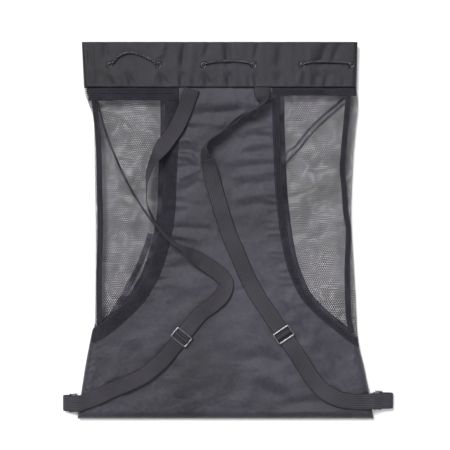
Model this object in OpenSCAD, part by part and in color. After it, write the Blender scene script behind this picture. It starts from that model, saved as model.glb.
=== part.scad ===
// Drawstring backpack lying flat, strap side up.
// X runs across the bag, Y from its bottom seam to its mouth, Z up from the floor.

/* [Bag] */
// Distance from the seam under the collar to the bottom seam
body_len = 532; // [525:1:540]
// Height of the collar round the mouth
collar_len = 72; // [68:1:76]
// Thickness of the nylon and mesh sheets
cloth_t = 0.8; // [0.6:0.1:1.0]
// Thickness of the doubled collar
collar_t = 1.0; // [0.8:0.1:1.2]
// Free height between the front and back sheets
pouch_gap = 16.8; // [16:0.1:20]

/* [Bindings] */
// Width of the wide left inner binding
wide_tape_w = 22; // [16:1:26]
// Width of the other bindings
tape_w = 12; // [8:1:14]
// Thickness of the binding tape
tape_t = 0.6; // [0.4:0.1:0.7]

/* [Straps] */
// Width of the shoulder strap webbing
strap_w = 25; // [23:0.5:25]
// Thickness of the shoulder strap webbing
strap_t = 1.5; // [1.2:0.1:1.6]

/* [Metal] */
// Thickness of the slider frame
slider_t = 3; // [2.5:0.1:3.2]
// Radius of the ring wire
ring_wire_r = 1.5; // [1.2:0.1:1.5]
// Radial clearance of a ring in its tab
ring_fit = 0.05; // [0.02:0.01:0.1]

/* [Drawcord] */
// Diameter of the drawcord
cord_d = 3.5; // [3:0.1:3.6]
// Radius of the bore of an eyelet
eyelet_bore_r = 2.7; // [2.5:0.1:2.8]
// Radius of the flange of an eyelet
eyelet_flange_r = 4.6; // [4.4:0.1:5]

/* [Hidden] */

nylon = [0.30, 0.29, 0.32];
net = [0.16, 0.15, 0.17];
tape = [0.17, 0.16, 0.18];
webbing = [0.27, 0.26, 0.27];
gunmetal = [0.35, 0.35, 0.37];
black = [0.06, 0.06, 0.07];
smooth_fn = 48;
curve_steps = 4;

seam_y = 230;
bottom_y = seam_y - body_len;
mouth_y = seam_y + collar_len;
back_z = cloth_t + pouch_gap;
back_top = back_z + cloth_t;
collar_top = back_z + collar_t;
front_tilt = 8.5;
window_end_y = -160;
wall_t = 0.8;
seam_gap = 0.3;
side_gap = 0.05;
far = 400;

// Outer edges of the body, from the collar seam to the bottom corners.
left_points = [
    [-231, 230], [-228, 214], [-217, 182], [-215, 139], [-214, 68], [-213, 0],
    [-214, -140], [-218, -160], [-223, -184], [-231, -228], [-242, bottom_y]
];
right_points = [
    [206, 230], [209, 198], [205, 156], [201, 103], [198, 17], [202, -50],
    [205, -103], [208, -164], [211, -188], [220, -226], [234, bottom_y]
];

// Seams between the centre panel and the mesh windows, from the collar to the side.
left_seam_points = [
    [-90, 230], [-90, 150], [-93, 94], [-95, 40], [-99, 5], [-107, -30], [-117, -62],
    [-128, -84], [-145, -110], [-168, -133], [-198, -158], [-222, -170]
];
right_seam_points = [
    [77, 230], [77, 172], [79, 120], [81, 70], [86, 20], [91, -15], [97, -45],
    [104, -68], [117, -97], [130, -115], [150, -135], [171, -152], [196, -172], [216, -184]
];
front_left_shift = -13;
front_right_shift = 8;

// Middle lines of the bindings down the sides of the back.
left_side_points = [[-215, 218], [-208, 139], [-206, 68], [-205, 0], [-207, -79], [-206, -152]];
right_side_points = [
    [193, 218], [190, 185], [185, 129], [183, 97], [186, 65], [189, 25], [193, 0],
    [191, -50], [191, -85], [193, -138], [198, -164]
];
side_tape_w = 9;
top_tape_left = [[-224, 209], [-79, 230]];
top_tape_right = [[71, 216], [205, 230]];

// Eyelets across the collar.
eyelet_x = [-189, -111, -39, 41, 119, 197];
eyelet_u = 35;
eyelet_y = seam_y + eyelet_u;
flange_t = 0.7;
washer_t = 0.5;
barrel_r = eyelet_bore_r + 0.6;
barrel_fit = 0.05;

// Drawcord, woven from the front eyelet by the left tail round the bag to the right one.
drawcord_route = [
    [-43, 264, 2.8], [-39, 265, 5.8], [-44, 266, 9.4], [-75, 270, 9.9], [-106, 266, 9.4],
    [-111, 265, 5.8], [-115, 264, 2.5], [-150, 262, 2.2], [-185, 264, 2.5], [-189, 265, 5.8],
    [-194, 264, 9.4], [-205, 256, 8.8], [-218, 253, 9.4], [-225, 261, 11.5], [-219, 271, 13.6],
    [-206, 271, 14.6], [-194, 266, 15.0], [-189, 265, 18.2], [-185, 268, 21.4],
    [-178, 276, 21.4], [-164, 284, 21.4], [-146, 283, 21.6], [-127, 275, 21.4],
    [-115, 267, 21.4], [-111, 265, 18.2], [-106, 264, 15.0], [-92, 258, 14.8],
    [-58, 258, 14.8], [-44, 264, 15.0], [-39, 265, 18.2], [-35, 267, 21.4], [-22, 270, 21.4],
    [2, 271, 21.4], [24, 270, 21.4], [37, 267, 21.4], [41, 265, 18.2], [46, 264, 15.0],
    [60, 258, 14.8], [100, 258, 14.8], [114, 264, 15.0], [119, 265, 18.2], [123, 267, 21.4],
    [136, 270, 21.4], [158, 270, 21.4], [180, 269, 21.4], [193, 267, 21.4], [197, 265, 18.2],
    [199, 259, 15.0], [196, 250, 14.0], [187, 246, 12.6], [179, 251, 11.2], [183, 260, 9.8],
    [191, 264, 9.2], [197, 265, 5.8], [192, 264, 2.5], [158, 262, 2.2], [124, 264, 2.5],
    [119, 265, 5.8], [114, 266, 9.4], [80, 270, 9.9], [46, 266, 9.4], [41, 265, 5.8],
    [45, 264, 2.8]
];
left_tail_route = [
    [-43, 264, 2.8], [-51, 266, 2.2], [-56, 273, 2.2], [-54, 282, 2.4], [-46, 289, 2.8],
    [-34, 290.7, 3.3], [20, 290.7, 3.3], [60, 290.7, 3.3], [100, 290.7, 3.3], [150, 290.7, 3.3],
    [158, 292, 3.0], [166, 294, 2.6]
];
right_tail_route = [
    [45, 264, 2.8], [52, 265, 2.2], [57, 270, 2.2], [60, 277, 2.3], [64, 283, 2.6],
    [70, 286.5, 3.0], [76, 287, 3.3], [100, 287, 3.3], [125, 287, 3.3], [150, 287, 3.3],
    [158, 286, 3.0], [165, 285, 2.6]
];
knot_at = [[169, 294.6, 3.3], [168, 284.4, 3.3]];
knot_r = 3.3;

// Cord lock under the front collar, its cord hole along X and its button towards the mouth.
lock_x = 93;
lock_l = 14;
lock_y0 = 279.5;
lock_d = 17;
lock_h = 6.5;
lock_mid_z = 3.3;
lock_hole_y0 = lock_y0 + 5.5;
lock_hole_d = 7.7;
lock_hole_h = 3.8;
lock_wall = 1.2;
lock_cavity_l = 9.2;
lock_cavity_h = 5.1;
plunger_l = 9.1;
plunger_h = 5.0;
plunger_in_y = lock_y0 + 4.3;
plunger_out_y = lock_y0 + 20;
plunger_slot_d = 10.3;
spring_coil_r = 1.6;
spring_wire_r = 0.15;
spring_turns = 3;

// Sliders: place of the middle and heading of the strap under each.
slider_left_at = [-74.6, -170.2];
slider_left_heading = -129;
slider_right_at = [88.6, -166.2];
slider_right_heading = -56;
slider_w = 31;
slider_l = 20.5;
slider_bar = 2.9;
slider_corner = 3;
slider_lift = 3.3;
strap_run = 45;

// Rings: their height, their size, and the middle of the bar that each tab holds.
ring_z = 6.6;
ring_l = 32;
ring_span = 13;
ring_corner = 2;
ring_left_bar = [-243.5, -277];
ring_right_bar = [234.5, -273];
tab_w = 24;
tab_t = 1.2;
tab_left_from = -238.9;
tab_right_from = 229.2;

// Strap stations: place, height over the back sheet, and the azimuth and elevation of the width.
function along(at, heading, s) = [at[0] + s * cos(heading), at[1] + s * sin(heading)];
function on_run(at, heading, s, h) = concat(along(at, heading, s), [h, heading + 90, 0]);
left_stations = concat([
    [-58, 226.4, 1.4, -12, 0], [-61, 216, 2.1, -14, 0], [-70, 192, 1.7, -22, 0],
    [-82, 166, 1.9, -26, 0], [-94, 148, 2.6, -34, 4], [-104, 134, 5.0, -34, 14],
    [-114, 119, 9.4, -32, 38], [-122, 105, 12.6, -28, 62], [-128, 86, 13.8, -16, 80],
    [-130, 64, 13.6, -2, 88], [-129, 43, 13.6, 4, 90], [-121, 22, 13.6, 20, 90],
    [-109, 4, 13.6, 36, 90], [-94, -13, 13.8, 44, 92], [-76, -26, 13.6, 50, 106],
    [-60, -37, 10.8, 52, 134], [-44, -48, 6.0, 54, 160], [-28, -59, 2.6, 54, 176],
    [-13, -70, 1.7, 44, 180], [-4, -84, 1.7, 10, 180], [-8, -101, 1.7, -28, 180],
    [-24, -118, 2.0, -42, 180]],
    [for (s = [-strap_run, 0, strap_run])
        on_run(slider_left_at, slider_left_heading, s, 2.2) + [0, 0, 0, 0, 180]],
    [[-114, -215, 3.8, -48, 180], [-134, -231, 6.0, -56, 180], [-158, -243, 5.4, -66, 180],
    [-182, -253, 4.0, -68, 180], [-206, -264, 3.8, -70, 180], [-228, -273, 3.8, -80, 180],
    [-237, -276, 4.0, -88, 180], [-243, -277, 2.4, -90, 180], [-250, -277, -1.2, -90, 180],
    [-256.5, -277, -5.0, -90, 180], [-261.5, -277, -7.4, -90, 180], [-264.65, -277, -11.4, -90, 180],
    [-262.5, -277, -15.8, -90, 180], [-257.5, -277, -17.4, -90, 180],
    [-252.9, -277, -16.2, -90, 180], [-250.9, -277, -12.9, -90, 180],
    [-250.1, -277, -8.9, -90, 180], [-247, -277, -5.4, -90, 180], [-243.2, -277, -1.6, -90, 180],
    [-239.8, -277, 1.2, -90, 180], [-235, -276, 1.7, -88, 180], [-228, -273, 1.7, -80, 180],
    [-206, -264, 1.7, -70, 180], [-182, -253, 1.7, -68, 180], [-158, -242, 1.7, -66, 180],
    [-136, -230, 1.7, -58, 180]]
);
right_stations = concat([
    [54, 229, 1.0, 0, 0], [54, 224, 3.0, 0, 6], [55, 218, 6.6, 0, 22], [56, 209, 11.8, -8, 54],
    [51, 200, 13.6, -30, 84], [41, 193, 13.6, -60, 90], [22, 184, 13.6, -62, 90],
    [4, 170, 13.6, -52, 90], [-14, 156, 13.6, -46, 90], [-30, 144, 13.6, -30, 88],
    [-37, 132, 13.2, -4, 70], [-35, 116, 9.6, 8, 38], [-30, 100, 4.2, 12, 10],
    [-25, 81, 1.7, 14, 0], [-19, 60, 1.7, 14, 0], [-13, 39, 1.7, 16, 0], [-6, 16, 1.9, 19, 0],
    [3, -10, 1.7, 24, 0], [16, -40, 1.7, 26, 0], [32, -77, 1.7, 30, 0], [48, -106, 1.9, 33, 0]],
    [for (s = [-strap_run + 5, 0, strap_run])
        on_run(slider_right_at, slider_right_heading, s, 2.2)],
    [[127, -225, 3.8, 35, 0], [141, -244, 6.0, 42, 0], [158, -260, 5.6, 54, 0],
    [180, -270, 4.4, 72, 0], [204, -273, 3.8, 86, 0], [219, -273, 3.8, 90, 0],
    [228, -273, 4.0, 90, 0], [234, -273, 2.4, 90, 0], [241, -273, -1.2, 90, 0],
    [248, -273, -4.6, 90, 0], [256, -273, -5.8, 90, 0], [262, -273, -7.2, 90, 0],
    [264.65, -273, -11.2, 90, 0], [262, -273, -15.4, 90, 0], [255, -273, -17.0, 90, 0],
    [248.5, -273, -17.4, 90, 0], [243.9, -273, -16.2, 90, 0], [241.9, -273, -12.9, 90, 0],
    [241.1, -273, -8.9, 90, 0], [238, -273, -5.4, 90, 0], [234.2, -273, -1.6, 90, 0],
    [230.6, -273, 1.2, 90, 0], [226, -273, 1.7, 90, 0], [204, -273, 1.7, 86, 0],
    [180, -269, 1.7, 72, 0], [160, -258, 1.7, 54, 0]]
);

// Catmull-Rom curve through a list of points.
function curve_at(a, b, c, d, t) =
    0.5 * (2 * b + (c - a) * t + (2 * a - 5 * b + 4 * c - d) * t * t
        + (3 * b - a - 3 * c + d) * t * t * t);
function curve(p, steps = curve_steps) = concat(
    [for (i = [0 : len(p) - 2], k = [0 : steps - 1])
        curve_at(p[max(i - 1, 0)], p[i], p[i + 1], p[min(i + 2, len(p) - 1)], k / steps)],
    [p[len(p) - 1]]
);
function reverse(p) = [for (i = [len(p) - 1 : -1 : 0]) p[i]];
function unit(v) = v / norm(v);
function ahead(p, i) = unit(p[min(i + 1, len(p) - 1)] - p[max(i - 1, 0)]);
function side_point(p, i, d) = p[i] + d * [-ahead(p, i)[1], ahead(p, i)[0]];
function shifted(p, dx) = [for (q = p) [q[0] + dx, q[1]]];

left_edge = curve(left_points);
right_edge = curve(right_points);
left_seam = curve(left_seam_points);
right_seam = curve(right_seam_points);

module band(p, w) {
    edge_a = [for (i = [0 : len(p) - 1]) side_point(p, i, w / 2)];
    edge_b = [for (i = [0 : len(p) - 1]) side_point(p, i, -w / 2)];
    polygon(concat(edge_a, reverse(edge_b)));
}

module body_outline() {
    polygon(concat(left_edge, reverse(right_edge)));
}

// Area between an inner seam and a side of the bag, up to just past the collar seam.
module window(seam, dx, side_x) {
    last = seam[len(seam) - 1];
    polygon(concat(
        shifted(seam, dx),
        [[side_x, last[1]], [side_x, seam_y + 1], [seam[0][0] + dx, seam_y + 1]]
    ));
}

module left_window(dx = 0) {
    window(left_seam, dx, -far);
}

module right_window(dx = 0) {
    window(right_seam, dx, far);
}

module rows(y0, y1) {
    translate([-far, y0]) square([2 * far, y1 - y0]);
}

module sheet(z) {
    translate([0, 0, z]) linear_extrude(cloth_t) children();
}

module back_panel() {
    color(nylon) sheet(back_z) difference() {
        body_outline();
        left_window();
        right_window();
    }
}

module front_panel() {
    color(nylon) sheet(0) difference() {
        intersection() {
            body_outline();
            rows(bottom_y, seam_y - seam_gap);
        }
        left_window(front_left_shift);
        right_window(front_right_shift);
    }
}

module mesh_back_left() {
    color(net) sheet(back_z) intersection() {
        body_outline();
        left_window();
    }
}

module mesh_back_right() {
    color(net) sheet(back_z) intersection() {
        body_outline();
        right_window();
    }
}

module mesh_front_left() {
    color(net) sheet(0) intersection() {
        body_outline();
        left_window(front_left_shift);
        rows(bottom_y, seam_y - seam_gap);
    }
}

module mesh_front_right() {
    color(net) sheet(0) intersection() {
        body_outline();
        right_window(front_right_shift);
        rows(bottom_y, seam_y - seam_gap);
    }
}

// Upright wall just inside the body outline, between two rows.
module side_wall(edge, y0, y1) {
    translate([0, 0, cloth_t]) linear_extrude(pouch_gap) intersection() {
        body_outline();
        band(edge, 2 * wall_t);
        rows(y0, y1);
    }
}

module mesh_side_left() {
    color(net) side_wall(left_edge, window_end_y, seam_y - seam_gap);
}

module mesh_side_right() {
    color(net) side_wall(right_edge, window_end_y, seam_y - seam_gap);
}

module side_seam_left() {
    color(nylon) side_wall(left_edge, bottom_y + wall_t, window_end_y);
}

module side_seam_right() {
    color(nylon) side_wall(right_edge, bottom_y + wall_t, window_end_y);
}

module bottom_seam() {
    color(nylon) translate([0, 0, cloth_t]) linear_extrude(pouch_gap) intersection() {
        body_outline();
        rows(bottom_y, bottom_y + wall_t);
    }
}

module collar_outline(len_u) {
    polygon([[-231, 0], [206, 0], [207, len_u], [-235, len_u]]);
}

// Places its children in the plane of the front half of the collar.
module on_front_collar() {
    translate([0, seam_y, 0]) rotate([front_tilt, 0, 0]) children();
}

module eyelet_holes(u) {
    for (x = eyelet_x) translate([x, u]) circle(r = barrel_r + barrel_fit, $fn = smooth_fn);
}

module collar_back() {
    color(nylon) translate([0, seam_y, back_z]) linear_extrude(collar_t) difference() {
        collar_outline(collar_len);
        eyelet_holes(eyelet_u);
    }
}

module collar_front() {
    color(nylon) on_front_collar() linear_extrude(collar_t) difference() {
        collar_outline(collar_len / cos(front_tilt));
        eyelet_holes(eyelet_u / cos(front_tilt));
    }
}

// The turned side of the collar fills the wedge between its two halves.
module collar_side(x0, x1) {
    low = collar_t / cos(front_tilt) + side_gap;
    rise = collar_len * tan(front_tilt);
    intersection() {
        translate([-far, 0, 0]) rotate([90, 0, 90]) linear_extrude(2 * far) polygon([
            [seam_y + seam_gap, low], [mouth_y - seam_gap, low + rise],
            [mouth_y - seam_gap, back_z], [seam_y + seam_gap, back_z]
        ]);
        linear_extrude(back_z) band([[x0, seam_y], [x1, mouth_y]], wall_t);
    }
}

module collar_side_left() {
    color(nylon) collar_side(-230, -234);
}

module collar_side_right() {
    color(nylon) collar_side(205, 206);
}

module tape_on_back() {
    translate([0, 0, back_top]) linear_extrude(tape_t) children();
}

module box_between(corners) {
    translate(corners[0]) square(corners[1] - corners[0]);
}

module binding_top_left() {
    color(tape) tape_on_back() intersection() {
        box_between(top_tape_left);
        body_outline();
    }
}

module binding_top_right() {
    color(tape) tape_on_back() intersection() {
        box_between(top_tape_right);
        body_outline();
    }
}

module inner_tape(seam, w) {
    intersection() {
        difference() {
            band(seam, w);
            box_between(top_tape_left);
            box_between(top_tape_right);
        }
        body_outline();
    }
}

module binding_inner_left() {
    color(tape) tape_on_back() inner_tape(left_seam, wide_tape_w);
}

module binding_inner_right() {
    color(tape) tape_on_back() inner_tape(right_seam, tape_w);
}

module side_tape(points, seam, w) {
    difference() {
        intersection() {
            band(curve(points), side_tape_w);
            body_outline();
        }
        band(seam, w + seam_gap);
        box_between(top_tape_left);
        box_between(top_tape_right);
    }
}

module binding_side_left() {
    color(tape) tape_on_back() side_tape(left_side_points, left_seam, wide_tape_w);
}

module binding_side_right() {
    color(tape) tape_on_back() side_tape(right_side_points, right_seam, tape_w);
}

module front_binding(seam) {
    translate([0, 0, cloth_t]) linear_extrude(tape_t) intersection() {
        difference() {
            body_outline();
            band(left_edge, 3 * wall_t);
            band(right_edge, 3 * wall_t);
        }
        band(seam, tape_w);
        rows(bottom_y, seam_y - seam_gap);
    }
}

module front_binding_left() {
    color(tape) front_binding(shifted(left_seam, front_left_shift));
}

module front_binding_right() {
    color(tape) front_binding(shifted(right_seam, front_right_shift));
}

// Eyelet with its flange on top of a sheet whose top face is at z = 0.
module eyelet() {
    $fn = smooth_fn;
    depth = collar_t + washer_t + 0.1;
    difference() {
        union() {
            cylinder(h = flange_t, r = eyelet_flange_r);
            translate([0, 0, -depth]) cylinder(h = depth + flange_t / 2, r = barrel_r);
        }
        translate([0, 0, -2 * depth]) cylinder(h = 4 * depth, r = eyelet_bore_r);
    }
}

module washer() {
    $fn = smooth_fn;
    translate([0, 0, -collar_t - washer_t]) difference() {
        cylinder(h = washer_t, r = eyelet_flange_r);
        translate([0, 0, -1]) cylinder(h = washer_t + 2, r = barrel_r + barrel_fit);
    }
}

module at_back_eyelets() {
    for (x = eyelet_x) translate([x, eyelet_y, collar_top]) children();
}

module at_front_eyelets() {
    on_front_collar()
        for (x = eyelet_x) translate([x, eyelet_u / cos(front_tilt), 0]) rotate([180, 0, 0]) children();
}

module eyelets_back() {
    color(gunmetal) at_back_eyelets() eyelet();
}

module eyelets_front() {
    color(gunmetal) at_front_eyelets() eyelet();
}

module washers_back() {
    color(gunmetal) at_back_eyelets() washer();
}

module washers_front() {
    color(gunmetal) at_front_eyelets() washer();
}

// Round tube of eight sides swept along a route.
module tube(route, d) {
    sides = 8;
    n = len(route);
    function upright(i) = abs(ahead(route, i)[2]) > 0.9 ? [0, 1, 0] : [0, 0, 1];
    function across(i) = unit(cross(ahead(route, i), upright(i)));
    function ring(i) = [for (k = [0 : sides - 1])
        route[i] + d / 2 * (cos(k * 360 / sides) * across(i)
            + sin(k * 360 / sides) * cross(across(i), ahead(route, i)))];
    polyhedron(
        points = [for (i = [0 : n - 1]) each ring(i)],
        faces = concat(
            [[for (k = [0 : sides - 1]) k]],
            [[for (k = [sides - 1 : -1 : 0]) (n - 1) * sides + k]],
            [for (i = [0 : n - 2], k = [0 : sides - 1])
                [i * sides + k, (i + 1) * sides + k,
                    (i + 1) * sides + (k + 1) % sides, i * sides + (k + 1) % sides]]
        )
    );
}

module drawcord() {
    color(black) tube(drawcord_route, cord_d);
}

module cord_tail_left() {
    color(black) tube(left_tail_route, cord_d);
}

module cord_tail_right() {
    color(black) tube(right_tail_route, cord_d);
}

module cord_knots() {
    color(black) for (p = knot_at) translate(p) sphere(r = knot_r, $fn = smooth_fn);
}

module lock_box(y0, l, d, h) {
    translate([lock_x - l / 2, y0, lock_mid_z - h / 2]) cube([l, d, h]);
}

module cord_lock_body() {
    color(black) difference() {
        lock_box(lock_y0, lock_l, lock_d, lock_h);
        lock_box(lock_y0 + lock_wall, lock_cavity_l, lock_d, lock_cavity_h);
        lock_box(lock_hole_y0, lock_l + 2, lock_hole_d, lock_hole_h);
    }
}

module cord_lock_plunger() {
    color(black) difference() {
        lock_box(plunger_in_y, plunger_l, plunger_out_y - plunger_in_y, plunger_h);
        lock_box(plunger_in_y + lock_wall, plunger_l + 2, plunger_slot_d, lock_hole_h);
    }
}

module cord_lock_spring() {
    pitch = (plunger_in_y - lock_y0 - lock_wall - 2 * spring_wire_r) / (spring_turns - 1);
    first_y = lock_y0 + lock_wall + spring_wire_r;
    color(gunmetal) for (i = [0 : spring_turns - 1])
        translate([lock_x, first_y + i * pitch, lock_mid_z]) rotate([90, 0, 0])
            rotate_extrude($fn = smooth_fn)
                translate([spring_coil_r, 0]) circle(r = spring_wire_r, $fn = 16);
}

// Flat webbing swept along stations of place, height, width azimuth and width elevation.
// The two wide faces are split along the same diagonal, so that a twist stays as thick as the rest.
module ribbon(stations) {
    n = len(stations);
    p = [for (s = stations) [s[0], s[1], s[2] + back_top]];
    function lean(s) = [cos(s[3]) * cos(s[4]), sin(s[3]) * cos(s[4]), sin(s[4])];
    function wide(i) = unit(lean(stations[i]) - (lean(stations[i]) * ahead(p, i)) * ahead(p, i));
    function thick(i) = cross(ahead(p, i), wide(i));
    function split_side(a, b, flip) = flip
        ? [[a, a + 4, b], [b, a + 4, b + 4]]
        : [[a, a + 4, b + 4], [a, b + 4, b]];
    function ring(i) = [for (c = [[1, 1], [-1, 1], [-1, -1], [1, -1]])
        p[i] + c[0] * strap_w / 2 * wide(i) + c[1] * strap_t / 2 * thick(i)];
    polyhedron(
        points = [for (i = [0 : n - 1]) each ring(i)],
        faces = concat(
            [[0, 1, 2, 3], [for (k = [3 : -1 : 0]) 4 * (n - 1) + k]],
            [for (i = [0 : n - 2], k = [0 : 3]) each split_side(4 * i + k, 4 * i + (k + 1) % 4, k == 2)]
        )
    );
}

module strap_left() {
    color(webbing) ribbon(left_stations);
}

module strap_right() {
    color(webbing) ribbon(right_stations);
}

module rounded_plate(l, w, r) {
    square([l, w - 2 * r], center = true);
    square([l - 2 * r, w], center = true);
    for (x = [-1, 1], y = [-1, 1])
        translate([x * (l / 2 - r), y * (w / 2 - r)]) circle(r = r, $fn = smooth_fn);
}

// Slider in its own frame: the strap runs along X under it.
module slider() {
    slot_l = (slider_l - 3 * slider_bar) / 2;
    slot_x = (slot_l + slider_bar) / 2;
    linear_extrude(slider_t) difference() {
        rounded_plate(slider_l, slider_w, slider_corner);
        for (x = [-slot_x, slot_x])
            translate([x, 0]) square([slot_l, slider_w - 2 * slider_bar], center = true);
    }
}

// Webbing over the slider's centre bar, from one slot to the other.
module bight() {
    inner_r = slider_bar / 2 + 0.1;
    rotate([90, 0, 0]) translate([0, 0, -strap_w / 2]) linear_extrude(strap_w) difference() {
        union() {
            translate([0, slider_t]) circle(r = inner_r + strap_t, $fn = smooth_fn);
            translate([-inner_r - strap_t, 0.1]) square([2 * (inner_r + strap_t), slider_t]);
        }
        translate([0, slider_t]) circle(r = inner_r, $fn = smooth_fn);
        translate([-inner_r, -1]) square([2 * inner_r, slider_t + 1]);
    }
}

module at_slider(at, heading) {
    translate([at[0], at[1], back_top + slider_lift]) rotate([0, 0, heading]) children();
}

module slider_left() {
    color(gunmetal) at_slider(slider_left_at, slider_left_heading) slider();
}

module slider_right() {
    color(gunmetal) at_slider(slider_right_at, slider_right_heading) slider();
}

module slider_bight_left() {
    color(webbing) at_slider(slider_left_at, slider_left_heading) bight();
}

module slider_bight_right() {
    color(webbing) at_slider(slider_right_at, slider_right_heading) bight();
}

// Wire ring in its own frame: the tab's bar along Y at the origin, the strap's bar at +X.
module wire_ring() {
    $fn = smooth_fn;
    half_y = ring_l / 2 - ring_wire_r;
    for (x = [0, ring_span]) translate([x, -half_y + ring_corner, 0])
        rotate([-90, 0, 0]) cylinder(h = 2 * (half_y - ring_corner), r = ring_wire_r);
    for (y = [-half_y, half_y]) translate([ring_corner, y, 0])
        rotate([0, 90, 0]) cylinder(h = ring_span - 2 * ring_corner, r = ring_wire_r);
    for (c = [[1, 1, 0], [0, 1, 90], [0, 0, 180], [1, 0, 270]])
        translate([c[0] == 1 ? ring_span - ring_corner : ring_corner,
            c[1] == 1 ? half_y - ring_corner : ring_corner - half_y, 0])
            rotate([0, 0, c[2]]) rotate_extrude(angle = 90) translate([ring_corner, 0])
                circle(r = ring_wire_r);
}

module ring_left() {
    color(gunmetal) translate([ring_left_bar[0], ring_left_bar[1], ring_z]) rotate([0, 0, 180]) wire_ring();
}

module ring_right() {
    color(gunmetal) translate([ring_right_bar[0], ring_right_bar[1], ring_z]) wire_ring();
}

// Webbing loop round a ring's bar, with its doubled tail running back to the side seam.
module ring_tab(bar, from_x) {
    loop_r = ring_wire_r + ring_fit;
    tail = bar[0] - from_x;
    translate([bar[0], bar[1] + tab_w / 2, ring_z]) rotate([90, 0, 0]) linear_extrude(tab_w) difference() {
        union() {
            circle(r = loop_r + tab_t, $fn = smooth_fn);
            translate([min(0, -tail), -tab_t]) square([abs(tail), 2 * tab_t]);
        }
        circle(r = loop_r, $fn = smooth_fn);
    }
}

module ring_tab_left() {
    color(webbing) ring_tab(ring_left_bar, tab_left_from);
}

module ring_tab_right() {
    color(webbing) ring_tab(ring_right_bar, tab_right_from);
}

back_panel();
front_panel();
mesh_back_left();
mesh_back_right();
mesh_front_left();
mesh_front_right();
mesh_side_left();
mesh_side_right();
side_seam_left();
side_seam_right();
bottom_seam();
collar_back();
collar_front();
collar_side_left();
collar_side_right();
binding_top_left();
binding_top_right();
binding_inner_left();
binding_inner_right();
binding_side_left();
binding_side_right();
front_binding_left();
front_binding_right();
eyelets_back();
eyelets_front();
washers_back();
washers_front();
drawcord();
cord_tail_left();
cord_tail_right();
cord_knots();
cord_lock_body();
cord_lock_plunger();
cord_lock_spring();
strap_left();
strap_right();
slider_left();
slider_right();
slider_bight_left();
slider_bight_right();
ring_left();
ring_right();
ring_tab_left();
ring_tab_right();
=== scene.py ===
"""Drawstring backpack lying flat with its straps up. Lengths are in millimetres until a mesh is made."""
import math

import bpy
import bmesh
import numpy as np
from mathutils import Matrix, Vector


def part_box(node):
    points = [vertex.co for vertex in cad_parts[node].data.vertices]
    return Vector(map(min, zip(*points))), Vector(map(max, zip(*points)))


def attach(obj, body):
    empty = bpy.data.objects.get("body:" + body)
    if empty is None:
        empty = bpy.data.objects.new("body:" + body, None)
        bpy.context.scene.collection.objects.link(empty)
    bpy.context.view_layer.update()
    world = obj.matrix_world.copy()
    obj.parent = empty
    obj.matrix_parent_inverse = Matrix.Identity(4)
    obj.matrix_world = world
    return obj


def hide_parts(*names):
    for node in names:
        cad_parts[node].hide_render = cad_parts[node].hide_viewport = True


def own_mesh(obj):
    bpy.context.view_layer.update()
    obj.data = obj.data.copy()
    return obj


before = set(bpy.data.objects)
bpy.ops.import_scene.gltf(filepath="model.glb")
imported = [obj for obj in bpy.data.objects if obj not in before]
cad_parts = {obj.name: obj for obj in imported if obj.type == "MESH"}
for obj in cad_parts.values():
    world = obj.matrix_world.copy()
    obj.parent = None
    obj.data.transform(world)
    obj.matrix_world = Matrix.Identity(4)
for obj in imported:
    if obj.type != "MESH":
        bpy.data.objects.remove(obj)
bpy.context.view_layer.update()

MM = 0.001
TINY = 1e-9
UP = np.array([0.0, 0.0, 1.0])
SIDES = ("left", "right")
INWARD = {"left": 1.0, "right": -1.0}
scene = bpy.context.scene

# ---- camera
CAMERA_X = -5.0
CAMERA_Y = 9.0
CAMERA_HEIGHT = 2500.0
SUBJECT_Z = 18.0
VIEW_WIDTH = 720.0
SENSOR = 36.0

camera_data = bpy.data.cameras.new("camera")
camera_data.sensor_width = SENSOR
camera_data.lens = SENSOR * CAMERA_HEIGHT / VIEW_WIDTH
camera_data.clip_end = 20.0
camera = bpy.data.objects.new("camera", camera_data)
camera.location = (CAMERA_X * MM, CAMERA_Y * MM, (CAMERA_HEIGHT + SUBJECT_Z) * MM)
scene.collection.objects.link(camera)
scene.camera = camera


# ---- curves
def catmull(points, steps):
    """Dense Catmull-Rom curve through the points, with steps pieces to a span."""
    p = np.asarray(points, float)
    ends = np.vstack([p[:1], p, p[-1:]])
    t = np.arange(steps) / steps
    out = []
    for i in range(len(p) - 1):
        a, b, c, d = ends[i], ends[i + 1], ends[i + 2], ends[i + 3]
        tt = t[:, None]
        out.append(0.5 * (2 * b + (c - a) * tt + (2 * a - 5 * b + 4 * c - d) * tt ** 2
                          + (3 * b - a - 3 * c + d) * tt ** 3))
    return np.vstack(out + [p[-1:]])


def lengths_along(p):
    """Distance along a polyline at each of its points."""
    return np.concatenate([[0.0], np.cumsum(np.linalg.norm(np.diff(p, axis=0), axis=1))])


def sample(p, s, at):
    """The polyline p, whose points lie at the lengths s, at the lengths at."""
    return np.stack([np.interp(at, s, column) for column in p.T], -1)


def resample(p, spacing):
    """The polyline at even steps of about the given spacing."""
    s = lengths_along(p)
    count = max(2, int(round(s[-1] / spacing)) + 1)
    return sample(p, s, np.linspace(0.0, s[-1], count))


def unit(v):
    """Vectors scaled to length 1."""
    return v / np.maximum(np.linalg.norm(v, axis=-1, keepdims=True), TINY)


def tangents(p):
    """Unit directions along a polyline."""
    return unit(np.gradient(p, axis=0))


def sideways(p):
    """Unit directions to the left of a polyline that lies in the plane."""
    t = tangents(p)
    return np.column_stack([-t[:, 1], t[:, 0]])


def circle(radius, sides, tall=1.0):
    """A round section as (across, up) pairs, stretched upwards by tall."""
    a = np.arange(sides) * 2 * math.pi / sides
    return radius * np.column_stack([np.cos(a), tall * np.sin(a)])


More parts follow.
